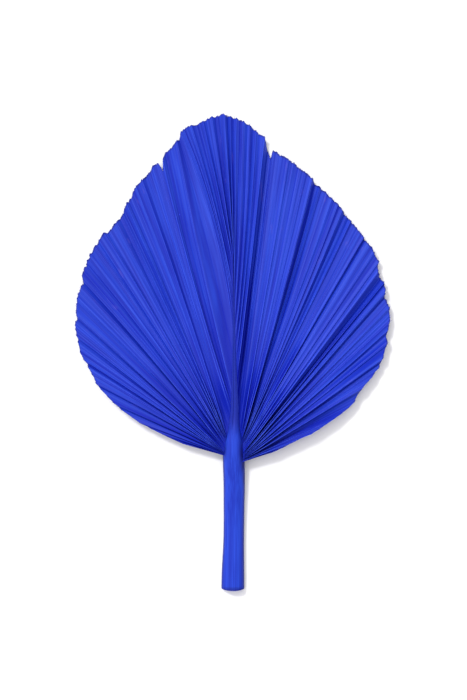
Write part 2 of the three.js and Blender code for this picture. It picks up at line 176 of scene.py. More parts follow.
def linear(hex_colour: str) -> tuple[float, float, float, float]:
    """Turns an sRGB hex colour to the linear one that a shader takes.

    Args:
        hex_colour: six hex digits after a hash.

    Returns:
        Red, green, blue and a full alpha.
    """
    channels = [int(hex_colour[i:i + 2], 16) / 255 for i in (1, 3, 5)]
    bent = [c / 12.92 if c <= 0.04045 else ((c + 0.055) / 1.055) ** 2.4 for c in channels]
    return (*bent, 1.0)


def add_node(tree: bpy.types.NodeTree, kind: str, links: dict[Union[str, int], Value] | None = None,
             **settings: Any) -> bpy.types.Node:
    """Adds a node, sets it up and joins its inputs.

    Args:
        tree: the shader or geometry tree.
        kind: the node's type name.
        links: input name or number to a socket to join, to a node whose first output is
            joined, or to a plain value.
        settings: the node's own properties.

    Returns:
        The new node.
    """
    made = tree.nodes.new(kind)
    for name, value in settings.items():
        setattr(made, name, value)
    for key, value in (links or {}).items():
        if isinstance(value, bpy.types.Node):
            tree.links.new(value.outputs[0], made.inputs[key])
        elif isinstance(value, bpy.types.NodeSocket):
            tree.links.new(value, made.inputs[key])
        else:
            made.inputs[key].default_value = value
    return made


def blank_material(name: str) -> tuple[bpy.types.Material, bpy.types.NodeTree]:
    """Starts a material with an empty tree.

    Args:
        name: the material's name.

    Returns:
        The material and its tree.
    """
    made = bpy.data.materials.new(name)
    made.use_nodes = True
    made.node_tree.nodes.clear()
    return made, made.node_tree


def drawn_noise(tree: bpy.types.NodeTree, place: Value, often: tuple[float, float, float],
                detail: float, rough: float,
                start: tuple[float, float, float] = (0.0, 0.0, 0.0)) -> bpy.types.Node:
    """Lays a noise pattern that is drawn out by its own amount each way.

    Args:
        tree: the material's tree.
        place: where the pattern is read.
        often: how many patches go into one unit along each direction.
        detail: how many finer patterns are laid over the first.
        rough: how strong they are.
        start: how far the pattern is moved.

    Returns:
        The pattern.
    """
    moved = add_node(tree, "ShaderNodeMapping", {
        "Vector": place, "Location": start, "Scale": often,
    })
    return add_node(tree, "ShaderNodeTexNoise", {
        "Vector": moved, "Scale": 1.0, "Detail": detail, "Roughness": rough,
    })


def surface_shader(tree: bpy.types.NodeTree, inputs: dict[str, Value]) -> None:
    """Ends a material with its surface shader, set up by the shader's own inputs."""
    surface = add_node(tree, "ShaderNodeBsdfPrincipled", inputs)
    add_node(tree, "ShaderNodeOutputMaterial", {"Surface": surface})


def read(table: Table, at: np.ndarray | float, column: int = 1) -> np.ndarray | float:
    """Reads a table along straight lines.

    Args:
        table: rows whose first value rises.
        at: where to read it.
        column: which value of a row to read.

    Returns:
        The value there, held level past both ends.
    """
    rows = np.asarray(table, dtype=float)
    return np.interp(at, rows[:, 0], rows[:, column])


def plain_mesh(name: str, points: np.ndarray, faces: Sequence[Sequence[int]],
               edges: Sequence[Sequence[int]] = ()) -> bpy.types.Mesh:
    """Makes a mesh from points in millimetres.

    Args:
        name: the mesh's name.
        points: one row of x, y, z for each point.
        faces: rows of point numbers.
        edges: pairs of point numbers, where there are no faces.

    Returns:
        The mesh, in metres.
    """
    mesh = bpy.data.meshes.new(name)
    mesh.from_pydata((np.asarray(points) * MM).tolist(), list(edges), list(faces))
    mesh.update()
    return mesh


def shown(name: str, mesh: bpy.types.Mesh) -> bpy.types.Object:
    """Puts a mesh in the scene as an object at the origin.

    Args:
        name: the object's name.
        mesh: its mesh.

    Returns:
        The object.
    """
    piece = bpy.data.objects.new(name, mesh)
    bpy.context.scene.collection.objects.link(piece)
    return piece


def point_values(mesh: bpy.types.Mesh, name: str, values: np.ndarray) -> None:
    """Stores one number, or one vector, for each point of a mesh.

    Args:
        mesh: the mesh.
        name: what the values are stored under.
        values: one number or one row of three for each point.
    """
    kind = "FLOAT" if values.ndim == 1 else "FLOAT_VECTOR"
    key = "value" if values.ndim == 1 else "vector"
    layer = mesh.attributes.new(name, kind, "POINT")
    layer.data.foreach_set(key, np.ascontiguousarray(values, dtype=np.float32).ravel())


def grown(piece: bpy.types.Object, tree: bpy.types.NodeTree, inputs: dict[str, Any]) -> bpy.types.Object:
    """Runs a geometry tree on an object and keeps the result as its plain mesh.

    Args:
        piece: the object that the tree starts from.
        tree: the geometry tree.
        inputs: the tree's named inputs and their values.

    Returns:
        The same object, with the tree's result as its mesh and no modifier.
    """
    modifier = piece.modifiers.new(tree.name, "NODES")
    modifier.node_group = tree
    for item in tree.interface.items_tree:
        if item.item_type == "SOCKET" and item.in_out == "INPUT" and item.name in inputs:
            modifier[item.identifier] = inputs[item.name]
    bpy.context.view_layer.update()
    graph = bpy.context.evaluated_depsgraph_get()
    mesh = bpy.data.meshes.new_from_object(piece.evaluated_get(graph))
    piece.modifiers.remove(modifier)
    piece.data = mesh
    return piece


class Random32:
    """Repeatable random numbers, drawn in the same order as the leaf's solid draws them."""

    def __init__(self, seed: int) -> None:
        """Starts the row of numbers at a seed."""
        self.state = seed

    @staticmethod
    def _times(a: int, b: int) -> int:
        """Multiplies two numbers and keeps 32 bits."""
        return (a * b) & 0xFFFFFFFF

    def either(self) -> float:
        """Draws the next number.

        Returns:
            A number from -1 to 1.
        """
        self.state = (self.state + 0x6D2B79F5) & 0xFFFFFFFF
        mixed = self._times(self.state ^ (self.state >> 15), 1 | self.state)
        mixed = ((mixed + self._times(mixed ^ (mixed >> 7), 61 | mixed)) & 0xFFFFFFFF) ^ mixed
        return 2 * ((mixed ^ (mixed >> 14)) & 0xFFFFFFFF) / 4294967296 - 1


@dataclass(frozen=True)
class Crease:
    """One crease of the blade, from its root on the costa to its tip at the rim."""

    angle: float
    height: float
    root: np.ndarray
    bend: np.ndarray
    tip: np.ndarray
    radius: float

    def along(self, t: np.ndarray) -> np.ndarray:
        """Plan points from 0 at the root to 1 at the rim."""
        s = t[:, None]
        return (1 - s) ** 2 * self.root + 2 * s * (1 - s) * self.bend + s ** 2 * self.tip


@dataclass(frozen=True)
class CreaseRule:
    """How the creases of the blade are laid out, as the solid of the leaf has them."""

    small_share: float = 1.5  # pitches that a gap needs before small pleats fit in it
    uneven: float = 0.22  # share by which small pleats stray from even places and heights
    rim_uneven: float = 0.9  # how far the cut strays at a crease
    chief_uneven: float = 0.4  # share of that at a chief crease
    rim_tooth: float = 0.5  # how far a ridge reaches past a fold at the cut
    seed: int = 11

    def angles(self, draw: Random32) -> list[tuple[float, float, bool]]:
        """Lists every crease from the left margin to the right one.

        Args:
            draw: where the random numbers come from.

        Returns:
            Angle at the rim, height, and whether it is a chief crease.
        """
        found: list[tuple[float, float, bool]] = []
        ends = list(CHIEF_CREASES[1:]) + [None]
        for (angle, height), after in zip(CHIEF_CREASES, ends):
            found.append((angle, height, True))
            if after is None:
                break
            gap = after[0] - angle
            pitch = float(read(SMALL_PITCH, angle + gap / 2))
            if gap < self.small_share * pitch:
                continue
            pairs = max(1, math.floor(gap / pitch))
            parts = 2 * pairs + 1
            for j in range(1, parts):
                place = j + self.uneven * draw.either()
                up = 1 if (after[1] > height) == (j % 2 == 1) else -1
                tall = float(read(SMALL_HEIGHTS, angle))
                small = tall / 2 * (1 + 2 * self.uneven * draw.either())
                level = height + (after[1] - height) * place / parts
                found.append((angle + gap / parts * place, level + up * small, False))
        return found

    def creases(self) -> list[Crease]:
        """Lays out every crease in plan.

        Returns:
            The creases, from the left margin to the right one.
        """
        draw = Random32(self.seed)
        laid: list[Crease] = []
        for angle, height, chief in self.angles(draw):
            step = self.rim_uneven * (self.chief_uneven if chief else 1)
            radius = float(read(RIM, angle)) + step * draw.either()
            radius += self.rim_tooth * float(np.sign(height))
            a = math.radians(angle)
            tip = HUB + radius * np.array([math.sin(a), math.cos(a)])
            root_y, share, bow = (float(read(ROOTS, angle, k)) for k in (1, 2, 3))
            side = -1 if angle < COSTA_END else 1
            half = float(read(STALK, root_y, 2))
            root = np.array([float(read(STALK, root_y)) + side * share * half, root_y])
            bend = (root + tip) / 2 + np.array([2 * bow, 0])  # half of it reaches the middle
            laid.append(Crease(angle, height, root, bend, tip, radius))
        return laid


class Side(Enum):
    """The two faces of the sheet, by the way they look."""

    UP = 1
    DOWN = -1


@dataclass(frozen=True)
class DyedBlade:
    """Sun-dried palm blade dyed ultramarine: matt, with lengthwise fibres.

    The dye sinks in deeper between the fibres, so fine darker lines run along each pleat, and the
    blade has a thin dark edge along its cut rim. The near-black folds, some darker spots and the
    darker blade near the hub are painted shade, the paler high ridges a painted highlight, and the
    gloss is lowered in the painted shade. Near the rim a few streaks took little dye.
    """

    name: str = "dyed palm blade"
    body: str = "#2245C6"
    # dye between the fibres and in patches, and the painted shade towards the hub
    deep: str = "#0D209F"
    # darker colour along the cut rim
    cut: str = "#0E1875"
    # painted shade in the folds
    fold_shade: str = "#0512B0"
    # painted shade in the spots beside the costa and elsewhere
    spot_shade_colour: str = "#040D8C"
    # painted highlight on the high ridges
    ridge_highlight: str = "#3E56D8"
    missed: str = "#5A4FB4"
    roughness: float = 0.62
    gloss: float = 0.27  # open fibre scatters most of the sheen away
    # least gloss, where the shade is painted
    shaded_gloss: float = 0.04
    gloss_band: tuple[float, float] = (-0.8, 0.2)  # fold less spot shade, from the gloss in painted shade to full gloss
    spot_shade_band: tuple[float, float] = (0.2, 2.0)  # painted spot shade, from no darkening to the most
    fibre_degrees: float = 0.16  # fibres about 0.7 mm apart at the rim
    fibre_length: float = 60.0
    fibre_depth: float = 0.16
    relief: float = 0.6
    patch_degrees: float = 1.1
    missed_degrees: float = 1.5
    missed_length: float = 22.0
    missed_from: tuple[float, float] = (0.6, 0.85)  # shares of the way to the rim
    missed_band: tuple[float, float] = (0.66, 0.76)  # only the few highest noise values
    hub_reach: float = 110.0
    streak_share: float = 0.55
    patch_share: float = 0.6
    # strength of the painted shade towards the hub, where the pleats deepen
    hub_shade_share: float = 0.7
    # most of the painted shade in the folds and in the spots
    shade_share: float = 0.9
    # most of the painted highlight on the ridges
    ridge_highlight_share: float = 0.7
    missed_share: float = 0.35

    def material(self) -> bpy.types.Material:
        """Builds the material, whose patterns follow the pleats by the piece's own map.

        Returns:
            The finished material.
        """
        made, tree = blank_material(self.name)
        spread = add_node(tree, "ShaderNodeUVMap", uv_map=PLEAT_MAP)
        # The fold value paints shade in the folds and light on the ridges; the spots paint shade.
        fold = add_node(tree, "ShaderNodeAttribute", attribute_name="fold").outputs["Fac"]
        spot_shade = add_node(tree, "ShaderNodeAttribute", attribute_name="spot_shade").outputs["Fac"]
        edge = add_node(tree, "ShaderNodeAttribute", attribute_name="edge").outputs["Fac"]
        fibres = drawn_noise(tree, spread, (1 / self.fibre_degrees, 1 / self.fibre_length, 1.0),
                             detail=3.0, rough=0.6)
        toned = self._toned(tree, spread, fibres)
        folded = self._folded(tree, toned, fold, spot_shade)
        patchy = self._patchy(tree, folded, spread)
        trimmed = add_node(tree, "ShaderNodeMix", {0: edge, 6: patchy, 7: linear(self.cut)},
                           data_type="RGBA").outputs[2]
        # Gloss is lowered in the painted shade of the folds and spots.
        unshaded = add_node(tree, "ShaderNodeMath", {0: fold, 1: spot_shade}, operation="SUBTRACT")
        sheen = add_node(tree, "ShaderNodeMapRange", {
            "Value": unshaded, "From Min": self.gloss_band[0], "From Max": self.gloss_band[1],
            "To Min": self.shaded_gloss, "To Max": self.gloss,
        })
        relief = add_node(tree, "ShaderNodeBump", {
            "Height": fibres, "Strength": self.relief, "Distance": self.fibre_depth * MM,
        })
        surface_shader(tree, {
            "Base Color": trimmed, "Roughness": self.roughness, "Normal": relief,
            "Specular IOR Level": sheen,
        })
        return made

    def _toned(self, tree: bpy.types.NodeTree, spread: Value, fibres: Value) -> Socket:
        """Colours the dye that sank in between the fibres and in patches, and paints shade towards the
        hub.

        Args:
            tree: the material's tree.
            spread: the map along the pleats, in degrees and millimetres.
            fibres: the pattern of the fibres.

        Returns:
            The colour.
        """
        patches = drawn_noise(
            tree, spread, (1 / self.patch_degrees, 1 / (2 * self.fibre_length), 1.0),
            detail=2.0, rough=0.5,
        )
        streaks = add_node(tree, "ShaderNodeMapRange", {
            "Value": fibres, **NOISE_BAND, "To Min": self.streak_share, "To Max": 0.0,
        })
        tones = add_node(tree, "ShaderNodeMapRange", {
            "Value": patches, **NOISE_BAND, "To Min": self.patch_share, "To Max": 0.0,
        })
        reach = add_node(tree, "ShaderNodeSeparateXYZ", {"Vector": spread}).outputs["Y"]
        # painted shade towards the hub
        hubward = add_node(tree, "ShaderNodeMapRange", {
            "Value": reach, "From Min": 0.0, "From Max": self.hub_reach,
            "To Min": self.hub_shade_share, "To Max": 0.0,
        })
        uneven = add_node(tree, "ShaderNodeMath", {0: streaks, 1: tones}, operation="ADD")
        depth = add_node(tree, "ShaderNodeMath", {0: uneven, 1: hubward}, operation="ADD",
                         use_clamp=True)
        return add_node(tree, "ShaderNodeMix", {
            0: depth, 6: linear(self.body), 7: linear(self.deep),
        }, data_type="RGBA").outputs[2]

    def _folded(self, tree: bpy.types.NodeTree, toned: Value, fold: Value,
                spot_shade: Value) -> Socket:
        """Paints shade in the folds and in the spots, and a painted highlight on the high ridges.

        Args:
            tree: the material's tree.
            toned: the colour so far.
            fold: from -1 in a deep fold to 1 on a high ridge.
            spot_shade: how much painted shade the spots give.

        Returns:
            The colour.
        """
        # painted shade in the folds, by their fold value
        in_fold = add_node(tree, "ShaderNodeMapRange", {
            "Value": fold, "From Min": 0.0, "From Max": -1.0,
            "To Min": 0.0, "To Max": self.shade_share,
        })
        darker = add_node(tree, "ShaderNodeMix", {0: in_fold, 6: toned, 7: linear(self.fold_shade)},
                          data_type="RGBA").outputs[2]
        # painted shade in the spots
        in_spot_shade = add_node(tree, "ShaderNodeMapRange", {
            "Value": spot_shade, "From Min": self.spot_shade_band[0], "From Max": self.spot_shade_band[1],
            "To Min": 0.0, "To Max": self.shade_share,
        })
        darkest = add_node(tree, "ShaderNodeMix", {0: in_spot_shade, 6: darker, 7: linear(self.spot_shade_colour)},
                           data_type="RGBA").outputs[2]
        # painted highlight on the high ridges
        on_ridge = add_node(tree, "ShaderNodeMapRange", {
            "Value": fold, "From Min": 0.0, "From Max": 1.0,
            "To Min": 0.0, "To Max": self.ridge_highlight_share,
        })
        return add_node(tree, "ShaderNodeMix", {0: on_ridge, 6: darkest, 7: linear(self.ridge_highlight)},
                        data_type="RGBA").outputs[2]

    def _patchy(self, tree: bpy.types.NodeTree, folded: Value, spread: Value) -> Socket:
        """Lays the few streaks near the rim that took little dye.

        Args:
            tree: the material's tree.
            folded: the colour so far.
            spread: the map along the pleats, in degrees and millimetres.

        Returns:
            The colour.
        """
        spots = drawn_noise(tree, spread, (1 / self.missed_degrees, 1 / self.missed_length, 1.0),
                            detail=2.0, rough=0.5, start=(7.3, 2.1, 0.0))
        few = add_node(tree, "ShaderNodeMapRange", {
            "Value": spots, "From Min": self.missed_band[0], "From Max": self.missed_band[1],
            "To Min": 0.0, "To Max": self.missed_share,
        })
        outwards = add_node(tree, "ShaderNodeAttribute", attribute_name="out").outputs["Fac"]
        rimward = add_node(tree, "ShaderNodeMapRange", {
            "Value": outwards, "From Min": self.missed_from[0], "From Max": self.missed_from[1],
        })
        share = add_node(tree, "ShaderNodeMath", {0: few, 1: rimward}, operation="MULTIPLY")
        return add_node(tree, "ShaderNodeMix", {0: share, 6: folded, 7: linear(self.missed)},
                        data_type="RGBA").outputs[2]


@dataclass(frozen=True)
class DyedStalk:
    """Dried palm stalk under the same dye: a hard smooth rind that takes it evenly.

    The rind is a little less glossy than the blade's ridges and shows only faint lengthwise
    streaks. Where it runs out into the blade it has grooves and is darker: painted shade, where
    the costa sinks among the pleats. It is near black at its scarring and, as painted shade, along
    its right side, and darker along its margins and the edge of the cut.
    """

    name: str = "dyed palm rind"
    body: str = "#2142C2"
    deep: str = "#152EA9"
    # painted shade on the costa, where it sinks among the pleats
    costa: str = "#142695"
    # near black: scarring, and painted shade on the stalk's right side
    scar_and_shade: str = "#0A1268"
    roughness: float = 0.6
    gloss: float = 0.17
    streak_width: float = 0.9
    patch_width: float = 5.0
    streak_length: float = 70.0
    streak_depth: float = 0.1
    streak_band: tuple[float, float] = (0.8, 1.2)  # where most sums of both patterns lie
    relief: float = 0.5

    def _streaks(self, tree: bpy.types.NodeTree, place: Value, width: float, detail: float,
                 rough: float) -> bpy.types.Node:
        """Draws a pattern out along the stalk.

        Args:
            tree: the material's tree.
            place: the point on the stalk, in metres.
            width: how wide a streak is, in millimetres.
            detail: how many finer patterns are laid over the first.
            rough: how strong they are.

        Returns:
            The pattern.
        """
        across, along = 1 / (width * MM), 1 / (self.streak_length * MM)
        return drawn_noise(tree, place, (across, along, across), detail, rough)

    def material(self) -> bpy.types.Material:
        """Builds the material, streaked along Y.

        Returns:
            The finished material.
        """
        made, tree = blank_material(self.name)
        place = add_node(tree, "ShaderNodeTexCoord").outputs["Object"]
        streaks = self._streaks(tree, place, self.streak_width, 3.0, 0.55)
        patches = self._streaks(tree, place, self.patch_width, 2.0, 0.5)
        both = add_node(tree, "ShaderNodeMath", {0: streaks, 1: patches}, operation="ADD")
        share = add_node(tree, "ShaderNodeMapRange", {
            "Value": both, "From Min": self.streak_band[0], "From Max": self.streak_band[1],
            "To Min": 1.0, "To Max": 0.0,
        })
        dyed = add_node(tree, "ShaderNodeMix", {
            0: share, 6: linear(self.body), 7: linear(self.deep),
        }, data_type="RGBA").outputs[2]
        # painted shade where the stalk runs out into the costa
        inwards = add_node(tree, "ShaderNodeAttribute", attribute_name="costa").outputs["Fac"]
        costa_shaded = add_node(tree, "ShaderNodeMix", {0: inwards, 6: dyed, 7: linear(self.costa)},
                           data_type="RGBA").outputs[2]
        # scarring and the painted shade on the right side, and the darker margins and cut edge
        scars_and_shade = add_node(tree, "ShaderNodeAttribute", attribute_name="scar_and_shade").outputs["Fac"]
        scarred_and_shaded = add_node(tree, "ShaderNodeMix", {0: scars_and_shade, 6: costa_shaded, 7: linear(self.scar_and_shade)},
                           data_type="RGBA").outputs[2]
        relief = add_node(tree, "ShaderNodeBump", {
            "Height": streaks, "Strength": self.relief, "Distance": self.streak_depth * MM,
        })
        surface_shader(tree, {
            "Base Color": scarred_and_shaded, "Roughness": self.roughness, "Normal": relief,
            "Specular IOR Level": self.gloss,
        })
        return made


@dataclass(frozen=True)
class CutFibre:
    """Sawn end of the stalk: open fibre that drank the dye, so it is darker, rough and dull."""

    name: str = "dyed cut fibre"
    body: str = "#16208F"
    pale: str = "#2C3FC4"
    roughness: float = 0.85
    grain: float = 0.5
    grain_depth: float = 0.2
    grain_band: tuple[float, float] = (0.4, 0.65)  # noise values from the body to the pale
    relief: float = 0.8

    def material(self) -> bpy.types.Material:
        """Builds the material, speckled at the size of the fibre ends.

        Returns:
            The finished material.
        """
        made, tree = blank_material(self.name)
        specks = add_node(tree, "ShaderNodeTexNoise", {
            "Vector": add_node(tree, "ShaderNodeTexCoord").outputs["Object"],
            "Scale": 1 / (self.grain * MM), "Detail": 2.0, "Roughness": 0.6,
        })
        share = add_node(tree, "ShaderNodeMapRange", {
            "Value": specks, "From Min": self.grain_band[0], "From Max": self.grain_band[1],
        })
        dyed = add_node(tree, "ShaderNodeMix", {
            0: share, 6: linear(self.body), 7: linear(self.pale),
        }, data_type="RGBA").outputs[2]
        relief = add_node(tree, "ShaderNodeBump", {
            "Height": specks, "Strength": self.relief, "Distance": self.grain_depth * MM,
        })
        surface_shader(tree, {
            "Base Color": dyed, "Roughness": self.roughness, "Normal": relief,
        })
        return made


@dataclass(frozen=True)
class WhitePaper:
    """Matt white paper that the leaf lies on: even, with no grain that shows at this distance."""

    name: str = "matt white paper"
    body: str = "#F6F6F6"
    tint: str = "#F3F3F4"
    roughness: float = 0.9
    gloss: float = 0.2
    patch: float = 140.0

    def material(self) -> bpy.types.Material:
        """Builds the material, with a hardly visible unevenness.

        Returns:
            The finished material.
        """
        made, tree = blank_material(self.name)
        patches = add_node(tree, "ShaderNodeTexNoise", {
            "Vector": add_node(tree, "ShaderNodeTexCoord").outputs["Object"],
            "Scale": 1 / (self.patch * MM), "Detail": 2.0,
        })
        mixed = add_node(tree, "ShaderNodeMix", {
            0: patches, 6: linear(self.body), 7: linear(self.tint),
        }, data_type="RGBA").outputs[2]
        surface_shader(tree, {
            "Base Color": mixed, "Roughness": self.roughness, "Specular IOR Level": self.gloss,
        })
        return made


def new_tree(name: str, inputs: dict[str, tuple[str, Any]]) -> tuple[Any, bpy.types.Node]:
    """Starts a geometry tree with named inputs.

    Args:
        name: the tree's name.
        inputs: input name to its socket type and its first value.

    Returns:
        The tree and its input node.
    """
    tree = bpy.data.node_groups.new(name, "GeometryNodeTree")
    tree.interface.new_socket("Geometry", in_out="INPUT", socket_type="NodeSocketGeometry")
    for title, (kind, value) in inputs.items():
        made = tree.interface.new_socket(title, in_out="INPUT", socket_type=kind)
        if value is not None:
            made.default_value = value
    tree.interface.new_socket("Geometry", in_out="OUTPUT", socket_type="NodeSocketGeometry")
    return tree, add_node(tree, "NodeGroupInput")


def close_tree(tree: Any, shape: Value, finish: Socket) -> None:
    """Ends a geometry tree: real geometry, its shading and its finish.

    Args:
        tree: the geometry tree.
        shape: what the tree has made.
        finish: its material.
    """
    real = add_node(tree, "GeometryNodeRealizeInstances", {"Geometry": shape})
    shaded = add_node(tree, "GeometryNodeSetShadeSmooth", {
        "Geometry": real, "Shade Smooth": True,
    })
    dressed = add_node(tree, "GeometryNodeSetMaterial", {
        "Geometry": shaded, "Material": finish,
    })
    add_node(tree, "NodeGroupOutput", {"Geometry": dressed})


def pleating_tree() -> Any:
    """Builds the tree that folds a flat plan of the blade up into pleats.

    Returns:
        The tree. It lifts each point to the leaf's surface, adds its share of a pleat and a slow
        ripple, keeps it clear of what the leaf lies on, and parts the two faces of the sheet.
    """
    tree, given = new_tree("fold the blade", {
        "Pleat depth": ("NodeSocketFloat", 1.0),
        "Sheet thickness": ("NodeSocketFloat", 0.45 * MM),
        "Ripple height": ("NodeSocketFloat", 0.5 * MM),
        "Ripple length": ("NodeSocketFloat", 30 * MM),
        "Ripple seed": ("NodeSocketFloat", 0.0),
        "Finish": ("NodeSocketMaterial", None),
    })
    stored = {
        name: add_node(tree, "GeometryNodeInputNamedAttribute", {"Name": name}, data_type="FLOAT")
        for name in ("surface", "pleat", "freedom", "stretch", "least", "side")
    }

    def joined(operation: str, a: Value, b: Value) -> bpy.types.Node:
        """Joins two heights of the fold by an operation."""
        return add_node(tree, "ShaderNodeMath", {0: a, 1: b}, operation=operation)

    noise = add_node(tree, "ShaderNodeTexNoise", {
        "Vector": add_node(tree, "GeometryNodeInputPosition"),
        "W": given.outputs["Ripple seed"], "Detail": 2.0,
        "Scale": joined("DIVIDE", 1.0, given.outputs["Ripple length"]),
    }, noise_dimensions="4D")
    swing = joined("SUBTRACT", noise, 0.5)
    ripple = joined("MULTIPLY", swing, given.outputs["Ripple height"])
    eased = joined("MULTIPLY", ripple, stored["freedom"])
    pleat = joined("MULTIPLY", stored["pleat"], given.outputs["Pleat depth"])
    raised = joined("ADD", joined("ADD", stored["surface"], pleat), eased)
    sheet = joined("MULTIPLY", given.outputs["Sheet thickness"], stored["stretch"])
    half = joined("MULTIPLY", sheet, 0.5)
    middle = joined("MAXIMUM", raised, joined("ADD", stored["least"], half))
    height = joined("ADD", middle, joined("MULTIPLY", half, stored["side"]))
    folded = add_node(tree, "GeometryNodeSetPosition", {
        "Geometry": given.outputs["Geometry"],
        "Offset": add_node(tree, "ShaderNodeCombineXYZ", {"Z": height}),
    })
    close_tree(tree, folded, given.outputs["Finish"])
    return tree


def nerve_tree() -> Any:
    """Builds the tree that lays a tapering nerve along each polyline.

    Returns:
        The tree. Each point's stored share of the full radius tapers the nerve.
    """
    tree, given = new_tree("lay the nerves", {
        "Nerve radius": ("NodeSocketFloat", 0.5 * MM),
        "Sides": ("NodeSocketInt", 6),
        "Finish": ("NodeSocketMaterial", None),
    })
    path = add_node(tree, "GeometryNodeMeshToCurve", {"Mesh": given.outputs["Geometry"]})
    ring = add_node(tree, "GeometryNodeCurvePrimitiveCircle", {
        "Resolution": given.outputs["Sides"], "Radius": given.outputs["Nerve radius"],
    })
    taper = add_node(tree, "GeometryNodeInputNamedAttribute", {"Name": "taper"},
                     data_type="FLOAT")
    swept = add_node(tree, "GeometryNodeCurveToMesh", {
        "Curve": path, "Profile Curve": ring, "Scale": taper, "Fill Caps": True,
    })
    close_tree(tree, swept, given.outputs["Finish"])
    return tree


def fray_tree() -> Any:
    """Builds the tree that leaves short loose fibres at the trimmed rim.

    Returns:
        The tree. A share of the points each get one thin cone along the point's stored heading.
    """
    tree, given = new_tree("fray the rim", {
        "Share": ("NodeSocketFloat", 0.3),
        "Fibre length": ("NodeSocketFloat", 2.2 * MM),
        "Fibre radius": ("NodeSocketFloat", 0.11 * MM),
        "Seed": ("NodeSocketInt", 4),
        "Finish": ("NodeSocketMaterial", None),
    })
    points = add_node(tree, "GeometryNodeMeshToPoints", {"Mesh": given.outputs["Geometry"]})
    cone = add_node(tree, "GeometryNodeMeshCone", {
        "Vertices": 5, "Radius Top": 0.15, "Radius Bottom": 1.0, "Depth": 1.0,
    })
    chosen = add_node(tree, "FunctionNodeRandomValue", {
        "Probability": given.outputs["Share"], "Seed": given.outputs["Seed"],
    }, data_type="BOOLEAN").outputs[3]
    heading = add_node(tree, "GeometryNodeInputNamedAttribute", {"Name": "heading"},
                       data_type="FLOAT_VECTOR")
    turned = add_node(tree, "FunctionNodeAlignRotationToVector", {"Vector": heading}, axis="Z")
    grown_by = add_node(tree, "FunctionNodeRandomValue", {
        2: 0.35, 3: 1.3, "Seed": given.outputs["Seed"],
    }, data_type="FLOAT").outputs[1]
    length = add_node(tree, "ShaderNodeMath", {0: grown_by, 1: given.outputs["Fibre length"]},
                      operation="MULTIPLY")
    size = add_node(tree, "ShaderNodeCombineXYZ", {
        "X": given.outputs["Fibre radius"], "Y": given.outputs["Fibre radius"], "Z": length,
    })
    placed = add_node(tree, "GeometryNodeInstanceOnPoints", {
        "Points": points, "Selection": chosen, "Instance": cone, "Rotation": turned,
        "Scale": size,
    })
    close_tree(tree, placed, given.outputs["Finish"])
    return tree


def bundle_tree() -> Any:
    """Builds the tree that sets the ends of the fibre bundles over the stalk's cut end.

    Returns:
        The tree. It spreads flat beads evenly over the faces that it is given.
    """
    tree, given = new_tree("set the bundles", {
        "Spacing": ("NodeSocketFloat", 1.0 * MM),
        "Densest": ("NodeSocketFloat", 2.0e6),
        "Bead radius": ("NodeSocketFloat", 0.32 * MM),
        "Bead height": ("NodeSocketFloat", 0.14 * MM),
        "Seed": ("NodeSocketInt", 2),
        "Finish": ("NodeSocketMaterial", None),
    })
    spread = add_node(tree, "GeometryNodeDistributePointsOnFaces", {
        "Mesh": given.outputs["Geometry"], "Distance Min": given.outputs["Spacing"],
        "Density Max": given.outputs["Densest"], "Seed": given.outputs["Seed"],
    }, distribute_method="POISSON")
    bead = add_node(tree, "GeometryNodeMeshIcoSphere", {"Radius": 1.0, "Subdivisions": 2})
    size = add_node(tree, "ShaderNodeCombineXYZ", {
        "X": given.outputs["Bead radius"], "Y": given.outputs["Bead radius"],
        "Z": given.outputs["Bead height"],
    })
    placed = add_node(tree, "GeometryNodeInstanceOnPoints", {
        "Points": spread, "Instance": bead, "Rotation": spread.outputs["Rotation"],
        "Scale": size,
    })
    close_tree(tree, placed, given.outputs["Finish"])
    return tree


